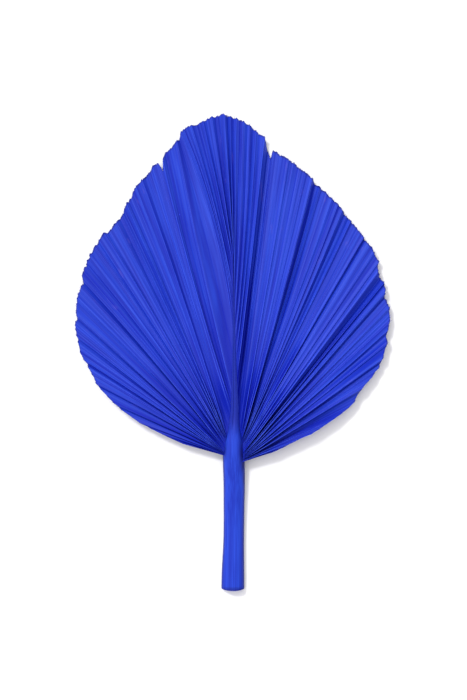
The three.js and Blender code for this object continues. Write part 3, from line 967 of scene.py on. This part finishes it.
@dataclass
class Blade:
    """The pleated blade: one thin sheet, folded along the creases and trimmed at the rim."""

    rule: CreaseRule = field(default_factory=CreaseRule)
    seed: int = 5

    # The leaf's own surface, and how the blade clears what it lies on
    hub_height: float = 11.5
    sag: float = 1.25
    wave_height: float = 0.9
    wave_x: tuple[float, float] = (31, 1.1)  # millimetres to the radian, and phase
    wave_y: tuple[float, float] = (47, 0.4)
    wave_fade: float = 1.6
    clearance: float = 0.9  # least height of the underside
    rest_angles: tuple[float, ...] = (-18, 17.4)  # creases whose tips touch the surface
    rest_rows: int = 12  # rows over which the ripple dies out towards such a tip

    # Pleats: deeper at the hub, shallower at the rim and, by angle, halfway out
    full_pleat: float = 22.0  # distance from its root at which a pleat has its full height
    pleat_depth: float = 1.25
    hub_depth: float = 1.2
    hub_reach: float = 40.0
    ease_late: float = 2.5  # the higher, the later the rim's easing sets in
    mid_at: float = 85.0
    mid_reach: float = 55.0
    height_drift: float = 0.16
    side_drift: float = 0.5
    side_drift_from: float = 200.0  # distance from the root at which it is full
    drift_waves: int = 3
    bow: float = 0.22  # how far a face may bulge between its creases

    # Spots of painted shade: angle, half width in degrees, distance from the hub, half length, strength
    painted_shade_spots: Table = (
        (-76, 9, 30, 26, 1), (-46, 9, 30, 22, 0.5), (-15, 2.5, 45, 20, 1), (6.4, 1.2, 95, 85, 2.6),
        (13, 5, 40, 28, 2.6), (18.9, 0.6, 130, 60, 1.5), (30.5, 1.7, 80, 30, 1.8),
        (38, 7, 38, 26, 2.4), (42.3, 1.1, 125, 75, 2.3), (56, 5, 135, 45, 0.75), (70, 6, 85, 25, 0.6),
    )
    full_fold: float = 3.6  # change of slope that counts as a sharp fold
    lit_ridge: float = 0.3  # ridges with a higher fold than this keep less painted shade
    ridge_spot_shade: float = 0.55  # share of the painted shade that stays on them

    # The sheet, and the rows of points across it
    sheet: float = 0.5
    steep_share: float = 0.7  # weight of the steeper of the two faces at a point
    rows: int = 50
    crowding: float = 1.2  # above 1 the rows are closer near the roots
    rim_rows: tuple[float, ...] = (1.4, 0.6)  # distances from the rim
    # share of the cut rim's darker colour on the row inside it
    rim_darkening: float = 0.8

    # Fine ribs on the faces between the creases
    beside: float = 0.4  # distance of the first line from a crease
    most_beside: float = 0.25  # the same as a share of a narrow face
    rib_pitch: float = 1.5
    rib_uneven: float = 0.25
    rib_gap: float = 0.08  # share of the face that a rib keeps from that line
    most_ribs: int = 4
    rib_height: float = 0.1
    # fold value of a rib: painted light on a raised rib, painted shade on a sunken one
    rib_tone: float = 0.35

    # The trimmed rim
    saw: float = 0.8  # how far the cut across a face may slant
    saw_width: float = 3.0  # width of a face that takes the full slant
    jag: float = 1.3
    jag_out: float = 0.8  # the cube of a draw from -1 to this makes a notch or a tooth
    ripple_height: float = 0.9
    ripple_length: float = 26.0

    # Nerves, full ones from the roots on and lesser ones further out
    nerve_least: float = 0.4  # height of the lowest ridge that has a nerve
    chief_nerve: float = 0.9  # height of the lowest ridge that has a full one
    rib_nerve: float = 0.6  # share of the full radius on ribs and lower ridges
    rib_nerve_tone: float = 0.1
    nerve_start: float = 85.0
    nerve_shortest: float = 1.5  # shortest pleat with a lesser nerve, in multiples of that
    nerve_radius: float = 0.28
    nerve_root: float = 0.1
    nerve_tip: float = 0.35
    nerve_sunk: float = 0.75

    # Loose fibres at the rim
    fibre_length: float = 2.0
    fibre_radius: float = 0.1
    fibre_share: float = 0.22
    fibre_rows: int = 3  # rows of the blade that a fibre carries on from
    fibre_clear: float = 2.0  # least height of the rim where a fibre stands
    fibre_sunk: float = 0.2
    fibre_stray: tuple[float, float, float] = (0.35, 0.35, 0.3)

    creases: list[Crease] = field(init=False)

    def __post_init__(self) -> None:
        """Lays the creases out once."""
        self.creases = self.rule.creases()

    def _drift(self, draw: np.random.Generator, t: np.ndarray) -> np.ndarray:
        """Makes a slow unevenness along a crease that dies out at both ends.

        Args:
            draw: where the random numbers come from.
            t: places along the crease, from 0 to 1.

        Returns:
            The unevenness at each place.
        """
        total = np.zeros_like(t)
        for wave in range(1, self.drift_waves + 1):
            total += draw.uniform(-1, 1) * np.sin(math.pi * wave * t) / wave
        return total

    def _steps(self) -> np.ndarray:
        """Spaces the rows along a crease, with close ones at the rim.

        Returns:
            Shares of the crease's length. Even rows that would crowd the close ones are left out.
        """
        even = (np.arange(self.rows + 1) / self.rows) ** self.crowding
        mean = float(np.mean([np.linalg.norm(c.tip - c.root) for c in self.creases]))
        close = [1 - gap / mean for gap in self.rim_rows]
        inner = even[even < min(close) - 1 / (3 * self.rows)]
        return np.concatenate([inner, close, [1.0]])

    def _lines(self) -> dict[str, np.ndarray]:
        """Places each crease in plan and in height.

        Returns:
            Arrays with one row for each crease and one column for each step along it.
        """
        draw = np.random.default_rng(self.seed)
        t = self._steps()
        found: dict[str, list[np.ndarray]] = {
            key: [] for key in ("x", "y", "surface", "pleat", "far", "out")
        }
        for crease in self.creases:
            plan = crease.along(t)
            from_root = np.linalg.norm(plan - crease.root, axis=1)
            heading = (crease.tip - crease.root) / np.linalg.norm(crease.tip - crease.root)
            share = np.minimum(1, from_root / self.side_drift_from)
            plan += np.outer(self.side_drift * self._drift(draw, t) * share,
                             (heading[1], -heading[0]))
            out = np.minimum(1, np.linalg.norm(plan - HUB, axis=1) / crease.radius)
            fall = (float(read(RIM_HEIGHTS, crease.angle)) - self.hub_height) * out ** self.sag
            across = np.sin(plan[:, 0] / self.wave_x[0] + self.wave_x[1])
            lengthwise = np.sin(plan[:, 1] / self.wave_y[0] + self.wave_y[1])
            wave = self.wave_height * across * lengthwise * out * (self.wave_fade - out)
            ramp = np.minimum(1, from_root / self.full_pleat)
            drift = 1 + self.height_drift * self._drift(draw, t)
            from_hub = np.linalg.norm(plan - HUB, axis=1)
            drift = drift * (1 + self.hub_depth * np.exp(-(from_hub / self.hub_reach) ** 2))
            drift = drift * (1 - (1 - float(read(RIM_EASE, crease.angle))) * out ** self.ease_late)
            halfway = np.exp(-((from_hub - self.mid_at) / self.mid_reach) ** 2)
            drift = drift * (1 - (1 - float(read(MID_EASE, crease.angle))) * halfway)
            found["x"].append(plan[:, 0])
            found["y"].append(plan[:, 1])
            found["surface"].append(self.hub_height + fall + wave)
            found["pleat"].append(crease.height * ramp * drift)
            found["far"].append(from_root)
            found["out"].append(out)
        return {name: np.array(rows) for name, rows in found.items()}

    def _folds(self) -> list[float]:
        """Finds how sharply each crease is folded.

        Returns:
            One number for each crease, from -1 for a deep fold to 1 for a high ridge.
        """
        found = [0.0]
        for before, here, after in zip(self.creases, self.creases[1:], self.creases[2:]):
            rise = (here.height - before.height) / float(np.linalg.norm(here.tip - before.tip))
            fall = (here.height - after.height) / float(np.linalg.norm(here.tip - after.tip))
            # A fold takes its share of painted shade from the table, by angle.
            share = float(read(FOLD_SHADE, here.angle)) if rise + fall < 0 else 1.0
            found.append(share * float(np.clip((rise + fall) / self.full_fold, -1, 1)))
        return [*found, 0.0]

    def _ribs(self, gap: float, draw: np.random.Generator) -> list[tuple[float, float, bool]]:
        """Places the lines of one face between two creases.

        Args:
            gap: how wide the face is at the rim.
            draw: where the random numbers come from.

        Returns:
            Share of the way across, height over the face at the rim, and whether it is a rib.
        """
        close = min(self.most_beside, self.beside / gap)
        ribs = int(np.clip(round(gap / self.rib_pitch) - 1, 0, self.most_ribs))
        lines = [(close, 0.0, False)]
        for n in range(ribs):
            place = (n + 1 + self.rib_uneven * draw.uniform(-1, 1)) / (ribs + 1)
            least = close + self.rib_gap
            place = float(np.clip(place, least, 1 - least))
            lines.append((place, self.rib_height * draw.uniform(-1, 1), True))
        return [*lines, (1 - close, 0.0, False)]

    def _columns(self) -> dict[str, np.ndarray]:
        """Fills the faces between the creases with columns.

        Returns:
            Arrays with one row for each column, and with one value for each column: its angle,
            whether it is a crease or a rib, its fold and its nerve's share of the full radius.
        """
        draw = np.random.default_rng(self.seed + 1)
        lines = self._lines()
        folds = self._folds()
        each = ("angle", "crease", "fold", "nerve")
        found: dict[str, list[Any]] = {key: [] for key in (*lines, *each)}

        def add(k: int, f: float, values: tuple[float, bool, float, float]) -> None:
            """Adds a column between two creases.

            Args:
                k: the crease before it.
                f: share of the way to the crease after it.
                values: its angle, whether it is a crease or a rib, its fold and its nerve.
            """
            for name, rows in lines.items():
                found[name].append((1 - f) * rows[k] + f * rows[min(k + 1, len(rows) - 1)])
            for name, value in zip(each, values):
                found[name].append(value)

        for k, crease in enumerate(self.creases):
            ridge = crease.height > self.nerve_least and folds[k] > 0
            tall = (1.0 if crease.height >= self.chief_nerve else self.rib_nerve) if ridge else 0.0
            add(k, 0.0, (crease.angle, True, folds[k], tall))
            if k + 1 == len(self.creases):
                break
            after = self.creases[k + 1]
            gap = float(np.linalg.norm(after.tip - crease.tip))
            width = np.hypot(lines["x"][k + 1] - lines["x"][k], lines["y"][k + 1] - lines["y"][k])
            narrow = np.minimum(1, width / gap)
            heading = (crease.tip - crease.root) / np.linalg.norm(crease.tip - crease.root)
            bow = self.bow * draw.uniform(-1, 1)
            saw = self.saw * draw.uniform(-1, 1) * min(1, gap / self.saw_width)
            for f, height, rib in self._ribs(gap, draw):
                # A rib's fold value paints light on a raised rib and shade on a sunken one.
                tone = self.rib_tone * height / self.rib_height
                nerve = self.rib_nerve if rib and tone > self.rib_nerve_tone else 0.0
                angle = (1 - f) * crease.angle + f * after.angle
                add(k, f, (angle, rib, tone, nerve))
                found["pleat"][-1] = found["pleat"][-1] + (height + bow * 4 * f * (1 - f)) * narrow
                trim = saw * (2 * f - 1) + self.jag * draw.uniform(-1, self.jag_out) ** 3
                found["x"][-1][-1] += trim * heading[0]
                found["y"][-1][-1] += trim * heading[1]
        return {name: np.array(rows) for name, rows in found.items()}

    def _stretch(self, grid: dict[str, np.ndarray]) -> np.ndarray:
        """Finds how much taller than the sheet's thickness its upright thickness is.

        Args:
            grid: the columns of the blade.

        Returns:
            One number for each point.
        """
        z = grid["surface"] + self.pleat_depth * grid["pleat"]
        run = np.hypot(np.diff(grid["x"], axis=0), np.diff(grid["y"], axis=0))
        slope = np.abs(np.diff(z, axis=0)) / np.maximum(run, 1e-6)
        tall = np.sqrt(1 + slope ** 2)
        left = np.vstack([tall[:1], tall])
        right = np.vstack([tall, tall[-1:]])
        steep = np.maximum(left, right)
        gentle = np.minimum(left, right)
        return self.steep_share * steep + (1 - self.steep_share) * gentle

    def _plan_mesh(self, grid: dict[str, np.ndarray]) -> bpy.types.Mesh:
        """Makes the flat plan of both faces of the sheet, closed round its edge.

        Args:
            grid: the columns of the blade.

        Returns:
            The mesh, with what the pleating tree and the finish read stored on it.
        """
        columns, rows = grid["x"].shape
        number = np.arange(columns * rows).reshape(columns, rows)
        below = number + columns * rows
        a, b, c, d = number[:-1, :-1], number[1:, :-1], number[1:, 1:], number[:-1, 1:]
        top = np.stack([a, b, c, d], -1).reshape(-1, 4)
        under = top[:, ::-1] + columns * rows
        walls = []
        for first, second in ((number[:, -1], below[:, -1]), (number[::-1, 0], below[::-1, 0]),
                              (number[0], below[0]), (number[-1, ::-1], below[-1, ::-1])):
            walls.append(np.stack([first[:-1], first[1:], second[1:], second[:-1]], -1))
        faces = np.vstack([top, under, *walls])
        flat = np.stack([grid["x"], grid["y"], np.zeros_like(grid["x"])], -1).reshape(-1, 3)
        mesh = plain_mesh("blade plan", np.vstack([flat, flat]), faces.tolist())
        self._store(mesh, grid)
        self._sharpen(mesh, grid)
        return mesh

    def _spot_shade(self, grid: dict[str, np.ndarray]) -> np.ndarray:
        """Finds how much painted shade the spots give.

        Args:
            grid: the columns of the blade.

        Returns:
            One number for each point, from 0 up.
        """
        radius = np.hypot(grid["x"] - HUB[0], grid["y"] - HUB[1])
        angle = grid["angle"][:, None]
        spot_shades = [strength * np.exp(-((angle - at) / wide) ** 2 - ((radius - far) / long) ** 2)
                 for at, wide, far, long, strength in self.painted_shade_spots]
        return np.max(spot_shades, axis=0)

    def _store(self, mesh: bpy.types.Mesh, grid: dict[str, np.ndarray]) -> None:
        """Stores what the pleating tree and the finish read, and the map along the pleats.

        Args:
            mesh: the flat plan of the blade.
            grid: the columns of the blade.
        """
        columns, rows = grid["x"].shape
        least = np.full((columns, rows), self.clearance)
        freedom = np.minimum(1, grid["far"] / self.full_pleat)
        edge = np.zeros((columns, rows))
        edge[:, -1] = 1.0
        edge[:, -2] = self.rim_darkening
        own = grid["fold"][:, None]
        fold = np.repeat(own, rows, axis=1)
        # painted shade from the spots, less of it on the lit ridges
        spot_shade = self._spot_shade(grid) * np.where(own > self.lit_ridge, self.ridge_spot_shade, 1)
        for c in range(columns):
            if grid["crease"][c] and grid["angle"][c] in self.rest_angles:
                freedom[c, -self.rest_rows:] *= np.linspace(1, 0, self.rest_rows)
                least[c, -1] = 0
                grid["pleat"][c, -1] = -grid["surface"][c, -1]
        both = {
            "surface": grid["surface"] * MM, "pleat": grid["pleat"] * MM,
            "stretch": self._stretch(grid), "least": least * MM, "freedom": freedom, "edge": edge,
            "fold": fold, "spot_shade": spot_shade, "out": grid["out"],
        }
        for name, values in both.items():
            point_values(mesh, name, np.tile(values.ravel(), 2))
        side = np.repeat([Side.UP.value, Side.DOWN.value], columns * rows).astype(float)
        point_values(mesh, "side", side)
        u = np.tile(np.repeat(grid["angle"], rows), 2)
        v = np.tile(grid["far"].ravel(), 2)
        corners = np.empty(len(mesh.loops), dtype=np.int32)
        mesh.loops.foreach_get("vertex_index", corners)
        layer = mesh.uv_layers.new(name=PLEAT_MAP)
        layer.data.foreach_set("uv", np.stack([u[corners], v[corners]], -1).astype(np.float32).ravel())

    def _sharpen(self, mesh: bpy.types.Mesh, grid: dict[str, np.ndarray]) -> None:
        """Keeps the creases and the cut edges sharp.

        Args:
            mesh: the flat plan of the blade.
            grid: the columns of the blade.
        """
        columns, rows = grid["x"].shape
        ends = np.empty(2 * len(mesh.edges), dtype=np.int32)
        mesh.edges.foreach_get("vertices", ends)
        ends = ends.reshape(-1, 2)
        column = (ends % (columns * rows)) // rows
        row = ends % rows
        same_face = (ends[:, 0] < columns * rows) == (ends[:, 1] < columns * rows)
        along = (column[:, 0] == column[:, 1]) & grid["crease"][column[:, 0]]
        rim = (row == rows - 1).all(axis=1)
        layer = mesh.attributes.new("sharp_edge", "BOOLEAN", "EDGE")
        layer.data.foreach_set("value", (same_face & (along | rim)).tolist())

    def _nerves(self, blade: bpy.types.Object, grid: dict[str, np.ndarray],
                finish: bpy.types.Material) -> bpy.types.Object:
        """Lays a thin raised nerve along the top of each high crease and along some ribs.

        Args:
            blade: the finished blade, whose points come in the same order as its columns.
            grid: the columns of the blade.
            finish: the nerves' material.

        Returns:
            The finished piece.
        """
        rows = grid["x"].shape[1]
        points: list[Vector] = []
        edges: list[tuple[int, int]] = []
        taper: list[float] = []
        for c in np.flatnonzero(grid["nerve"]):
            start = len(points)
            far = grid["far"][c]
            begin = 0.0 if grid["nerve"][c] == 1 else self.nerve_start
            if far[-1] < self.nerve_shortest * begin:
                continue
            for r in range(1 + int(np.searchsorted(far, begin)), rows):
                share = grid["nerve"][c] * (1 - (1 - self.nerve_tip) * far[r] / far[-1])
                share *= min(1, max(self.nerve_root, (far[r] - begin) / self.full_pleat))
                drop = self.nerve_sunk * self.nerve_radius * share * MM
                at = blade.data.vertices[int(c) * rows + r].co
                points.append(Vector((at.x, at.y, at.z - drop)))
                taper.append(share)
            edges += [(n, n + 1) for n in range(start, len(points) - 1)]
        mesh = plain_mesh("nerve paths", np.array(points) / MM, (), edges)
        point_values(mesh, "taper", np.array(taper))
        return grown(shown("nerves", mesh), nerve_tree(), {
            "Nerve radius": self.nerve_radius * MM, "Sides": 6, "Finish": finish,
        })

    def _fray(self, blade: bpy.types.Object, grid: dict[str, np.ndarray],
              finish: bpy.types.Material) -> bpy.types.Object:
        """Leaves short loose fibres along the trimmed rim.

        Args:
            blade: the finished blade, whose points come in the same order as its columns.
            grid: the columns of the blade.
            finish: the fibres' material.

        Returns:
            The finished piece.
        """
        stray = self.fibre_stray
        columns, rows = grid["x"].shape
        draw = np.random.default_rng(self.seed + 2)
        points: list[Vector] = []
        headings: list[Vector] = []
        for c in range(1, columns - 1):
            outer = blade.data.vertices[c * rows + rows - 1].co
            lower = blade.data.vertices[columns * rows + c * rows + rows - 1].co
            inner = blade.data.vertices[c * rows + rows - 1 - self.fibre_rows].co
            heading = (outer - inner).normalized()
            heading += Vector(draw.uniform((-stray[0], -stray[1], 0), stray))
            middle = (outer + lower) / 2
            if middle.z < self.fibre_clear * MM:
                continue
            points.append(middle - heading * self.fibre_sunk * MM)
            headings.append(heading)
        mesh = plain_mesh("fray points", np.array(points) / MM, ())
        point_values(mesh, "heading", np.array(headings))
        return grown(shown("rim_fibres", mesh), fray_tree(), {
            "Share": self.fibre_share, "Fibre length": self.fibre_length * MM,
            "Fibre radius": self.fibre_radius * MM, "Seed": self.seed, "Finish": finish,
        })

    def build(self) -> Iterator[bpy.types.Object]:
        """Makes the blade, its nerves and the loose fibres at its rim.

        Yields:
            Each finished piece.
        """
        finish = DyedBlade().material()
        grid = self._columns()
        blade = grown(shown("blade", self._plan_mesh(grid)), pleating_tree(), {
            "Pleat depth": self.pleat_depth, "Sheet thickness": self.sheet * MM,
            "Ripple height": self.ripple_height * MM, "Ripple length": self.ripple_length * MM,
            "Ripple seed": float(self.seed), "Finish": finish,
        })
        yield blade
        pale = DyedStalk(name="dyed palm nerve", body="#3C55DE", deep="#2944CC")
        yield self._nerves(blade, grid, pale.material())
        yield self._fray(blade, grid, finish)


@dataclass
class Stalk:
    """The stalk, the costa that it runs out into, and its cut end."""

    seed: int = 8

    # The section, a D with its flat side down, and the rings along the stalk
    around: int = 64
    step: float = 1.25
    squareness: float = 0.82  # below 1 the section's corners are fuller than an ellipse's
    belly: float = 0.12  # share of its height at which the stalk is widest
    flat_belly: float = 1.7

    # The cut end, which bows out a little in the middle
    cut_middle: float = -214.6
    cut_corner: float = -212.5
    cut_half_width: float = 12.6
    cut_rings: tuple[float, ...] = (0.96, 0.85, 0.7, 0.52, 0.34, 0.17)
    cut_rough: float = 0.12
    cut_behind: float = 1.0  # where the section of the cut is read, behind its corners
    cut_ahead: float = 0.6  # where the rings of the rind start, ahead of them
    bundle_spacing: float = 1.05
    bundle_radius: float = 0.3
    bundle_height: float = 0.14

    # Grooves of the rind, deeper where it turns into the costa
    groove: float = 0.12
    groove_waves: tuple[int, ...] = (9, 14, 23)
    costa_from: float = -80.0
    costa_full: float = -58.0
    costa_groove: float = 0.9
    costa_width: float = 4.0

    # Scarring and painted shade: x, y, half width, half length. The three on the right are scarring and
    # the painted shade on the stalk's right side; the one on the left is a nick with a dark streak
    # beside it.
    scars_and_shade: Table = ((8, -91, 2.3, 11), (9, -101, 2, 8), (9.6, -113, 1, 9), (-8.4, -87, 2, 7))
    scar_depth: float = 0.3

    # Darker along the edge of the cut and both margins, less so on the costa
    cut_edge_dark: float = 0.8
    margin_dark: float = 0.9
    margin_from: float = 0.8
    costa_lighter: float = 0.6

    def _smooth(self, at: np.ndarray, column: int) -> np.ndarray:
        """Reads a column of the stalk's table along a smooth curve through its rows.

        Args:
            at: places along the stalk.
            column: which value of a row to read.

        Returns:
            The value at each place.
        """
        rows = np.asarray(STALK, dtype=float)
        y, v = rows[:, 0], rows[:, column]
        pace = np.gradient(v, y)
        flat = np.diff(v) == 0
        pace[:-1][flat] = 0
        pace[1:][flat] = 0
        k = np.clip(np.searchsorted(y, at) - 1, 0, len(y) - 2)
        span = y[k + 1] - y[k]
        s = (at - y[k]) / span
        start = (2 * s ** 3 - 3 * s ** 2 + 1) * v[k] + (s ** 3 - 2 * s ** 2 + s) * span * pace[k]
        end = (3 * s ** 2 - 2 * s ** 3) * v[k + 1] + (s ** 3 - s ** 2) * span * pace[k + 1]
        return start + end

    def _costa(self, y: np.ndarray) -> np.ndarray:
        """How far the stalk has turned into the costa: 0 on the stalk, 1 on the costa."""
        share = np.clip((y - self.costa_from) / (self.costa_full - self.costa_from), 0, 1)
        return share * share * (3 - 2 * share)

    def _scar_and_shade(self, x: np.ndarray, y: np.ndarray) -> np.ndarray:
        """Finds the scarring of the rind, the painted shade on its right side, and how much darker its
        margins are.

        Args:
            x: places across the stalk.
            y: places along it.

        Returns:
            One number for each place, from 0 to 1.
        """
        marks = [np.exp(-((x - at_x) / wide) ** 2 - ((y - at_y) / long) ** 2)
                 for at_x, at_y, wide, long in self.scars_and_shade]
        half = self._smooth(y, 2)
        out = np.abs(x - self._smooth(y, 1)) / half
        margin = np.clip((out - self.margin_from) / (1 - self.margin_from), 0, 1)
        margin = margin * (1 - self.costa_lighter * self._costa(y))
        return np.maximum(np.max(marks, axis=0), self.margin_dark * margin)

    def _cut_y(self, x: np.ndarray) -> np.ndarray:
        """Where the slightly bowed cut lies at each x."""
        return self.cut_middle + (self.cut_corner - self.cut_middle) * (x / self.cut_half_width) ** 2

    def _rings(self) -> np.ndarray:
        """Places the points of every ring along the stalk.

        Returns:
            Rings, points round each, and x, y, z in millimetres.
        """
        end = STALK[-1][0]
        y = np.arange(self.cut_corner + self.cut_ahead, end + self.step, self.step)
        y = np.concatenate([[self.cut_corner - self.cut_behind], np.minimum(y, end)])
        middle, half, under, top = (self._smooth(y, k) for k in (1, 2, 3, 4))
        draw = np.random.default_rng(self.seed)
        a = 2 * math.pi * (np.arange(self.around) + 0.5) / self.around
        across, up = (np.sign(v) * np.abs(v) ** self.squareness for v in (np.cos(a), np.sin(a)))
        widest = under + (top - under) * self.belly
        low = (widest - under)[:, None] * self.flat_belly * up
        rise = np.where(up > 0, (top - widest)[:, None] * up, low)
        wear = sum(np.sin(n * a + draw.uniform(0, 6.3)) for n in self.groove_waves)
        wear = wear / len(self.groove_waves) * np.clip(up, 0, 1)
        costa = self._costa(y)
        deep = self.groove + (self.costa_groove - self.groove) * costa
        deep = deep * np.minimum(1, half / self.costa_width)
        x = middle[:, None] + half[:, None] * across
        wear = wear * deep[:, None] - self.scar_depth * self._scar_and_shade(x, y[:, None])
        z = np.maximum(under[:, None], widest[:, None] + rise + wear)
        points = np.stack([x, np.repeat(y[:, None], self.around, 1), z], -1)
        points[0, :, 1] = self._cut_y(points[0, :, 0])
        return points

    def _cut_points(self, ring: np.ndarray) -> np.ndarray:
        """Places the rings of the cut face and its middle point.

        Args:
            ring: the stalk's first ring, which they lie inside.

        Returns:
            One row of x, y, z for each point, from the outer ring inwards.
        """
        draw = np.random.default_rng(self.seed + 1)
        centre = ring.mean(axis=0)
        inner = []
        for share in self.cut_rings:
            points = centre + (ring - centre) * share
            points[:, 1] = self._cut_y(points[:, 0]) + draw.uniform(0, self.cut_rough, len(points))
            inner.append(points)
        centre[1] = self._cut_y(centre[0])
        return np.vstack([*inner, centre[None]])

    def build(self) -> Iterator[bpy.types.Object]:
        """Makes the stalk with its cut end, and the ends of the fibre bundles on it.

        Yields:
            Each finished piece.
        """
        rings = self._rings()
        count, around = rings.shape[:2]
        cut = self._cut_points(rings[0])
        points = np.vstack([rings.reshape(-1, 3), cut])
        turn = np.arange(around)
        after = (turn + 1) % around
        faces = []
        for n in range(count - 1):
            first, second = n * around, (n + 1) * around
            faces += np.stack([first + turn, second + turn, second + after, first + after], -1).tolist()
        faces.append(((count - 1) * around + turn).tolist()[::-1])
        rind = len(faces)
        starts = [0] + [count * around + n * around for n in range(len(self.cut_rings))]
        for outer, inner in zip(starts, starts[1:]):
            faces += np.stack([outer + turn, outer + after, inner + after, inner + turn], -1).tolist()
        last = len(points) - 1
        faces += [[starts[-1] + int(k), starts[-1] + int(n), last] for k, n in zip(turn, after)]
        mesh = plain_mesh("stalk", points, faces)
        mesh.materials.append(DyedStalk().material())
        mesh.materials.append(CutFibre().material())
        mesh.polygons.foreach_set("use_smooth", [True] * len(faces))
        mesh.polygons.foreach_set("material_index", [int(n >= rind) for n in range(len(faces))])
        self._sharp_rim(mesh, around)
        point_values(mesh, "costa", self._costa(points[:, 1]))
        # scarring, painted shade on the right side, and the darker margins and cut edge
        scar_and_shade = self._scar_and_shade(points[:, 0], points[:, 1])
        scar_and_shade[:around] = np.maximum(scar_and_shade[:around], self.cut_edge_dark)
        scar_and_shade[around:2 * around] = np.maximum(scar_and_shade[around:2 * around], self.cut_edge_dark / 2)
        point_values(mesh, "scar_and_shade", scar_and_shade)
        stalk = shown("stalk", mesh)
        yield stalk
        cap = plain_mesh("cut face", cut, [
            [n * around + int(k) for k in ring] for n in range(len(self.cut_rings) - 1)
            for ring in np.stack([turn, after, around + after, around + turn], -1)
        ])
        yield grown(shown("cut_bundles", cap), bundle_tree(), {
            "Spacing": self.bundle_spacing * MM, "Bead radius": self.bundle_radius * MM,
            "Bead height": self.bundle_height * MM, "Seed": self.seed,
            "Finish": CutFibre(name="dyed bundle ends", body="#2A3CC0", pale="#3C50D2",
                               grain=0.3).material(),
        })

    def _sharp_rim(self, mesh: bpy.types.Mesh, around: int) -> None:
        """Keeps the edge of the cut sharp.

        Args:
            mesh: the stalk, whose first ring lies round the cut.
            around: how many points a ring has.
        """
        ends = np.empty(2 * len(mesh.edges), dtype=np.int32)
        mesh.edges.foreach_get("vertices", ends)
        sharp = (ends.reshape(-1, 2) < around).all(axis=1)
        layer = mesh.attributes.new("sharp_edge", "BOOLEAN", "EDGE")
        layer.data.foreach_set("value", sharp.tolist())


@dataclass
class Studio:
    """The white surface, the soft light from the upper left and the camera that looks down."""

    # The camera, at the photograph's scale
    photo_height: int = 700  # pixels
    pixel: float = 0.9  # size of one pixel on the leaf
    aim: tuple[float, float] = (0.2, 2.1)
    distance: float = 1600.0
    leaf_level: float = 8.0
    sensor: float = 36.0
    floor_size: float = 6000.0

    # The light: a window, the bright wall round it and the dimmer room
    sun_azimuth: float = 40.0
    window_rise: float = 50.0
    window_softness: float = 11.0
    window_strength: float = 1.6
    wall_rise: float = 52.0
    wall_softness: float = 110.0
    wall_strength: float = 1.55
    room_strength: float = 0.67
    room: str = "#FFFDFE"

    def camera(self) -> None:
        """Sets the camera straight above the leaf, at the photograph's scale."""
        lens = bpy.data.cameras.new("camera")
        lens.sensor_width = self.sensor
        tall = self.photo_height * self.pixel
        lens.lens = self.sensor * (self.distance - self.leaf_level) / tall
        eye = bpy.data.objects.new("camera", lens)
        eye.location = (self.aim[0] * MM, self.aim[1] * MM, self.distance * MM)
        bpy.context.scene.collection.objects.link(eye)
        bpy.context.scene.camera = eye

    def _sun(self, name: str, strength: float, softness: float, rise: float) -> None:
        """Sets one sun from the upper left of the photograph.

        Args:
            name: its name.
            strength: light on a face square to it, in watts to the square metre.
            softness: how wide it looks, in degrees.
            rise: its height over the surface, in degrees.
        """
        sun = bpy.data.lights.new(name, "SUN")
        sun.energy = strength
        sun.angle = math.radians(softness)
        lamp = bpy.data.objects.new(name, sun)
        azimuth, up = math.radians(self.sun_azimuth), math.radians(rise)
        towards = Vector((
            -math.sin(azimuth) * math.cos(up), math.cos(azimuth) * math.cos(up), math.sin(up),
        ))
        lamp.rotation_euler = (-towards).to_track_quat("-Z", "Y").to_euler()
        lamp.location = towards
        bpy.context.scene.collection.objects.link(lamp)

    def light(self) -> None:
        """Sets the window, the bright wall round it and the dimmer white room."""
        self._sun("window", self.window_strength, self.window_softness, self.window_rise)
        self._sun("bright wall", self.wall_strength, self.wall_softness, self.wall_rise)
        world = bpy.data.worlds.new("white room")
        world.use_nodes = True
        world.node_tree.nodes.clear()
        sky = add_node(world.node_tree, "ShaderNodeBackground", {
            "Color": linear(self.room), "Strength": self.room_strength,
        })
        add_node(world.node_tree, "ShaderNodeOutputWorld", {"Surface": sky.outputs["Background"]})
        bpy.context.scene.world = world
        bpy.context.scene.view_settings.view_transform = "Standard"

    def floor(self) -> None:
        """Lays the white surface."""
        h = self.floor_size / 2
        mesh = plain_mesh("surface", np.array([[-h, -h, 0], [h, -h, 0], [h, h, 0], [-h, h, 0]]),
                          [[0, 1, 2, 3]])
        mesh.materials.append(WhitePaper().material())
        shown("surface", mesh)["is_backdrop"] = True


def hand_over(piece: bpy.types.Object) -> None:
    """Ties a finished piece to the leaf's solid and reports it.

    Args:
        piece: the piece, as its maker leaves it.
    """
    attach(piece, BODY)
    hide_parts(NODE)
    LOG.info("%s: %d faces", piece.name, len(piece.data.polygons))


def main() -> None:
    """Builds the leaf and its studio."""
    logging.basicConfig(level=logging.INFO, format="%(name)s: %(message)s")
    solid_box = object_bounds()
    studio = Studio()
    studio.camera()
    for part in (Stalk(), Blade()):
        for piece in part.build():
            hand_over(piece)
    studio.light()
    studio.floor()
    boxes = {"cad": solid_box, "visual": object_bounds()}
    ({name: [list(map(float, corner)) for corner in box]
               for name, box in boxes.items()})


if __name__ == "__main__":
    main()
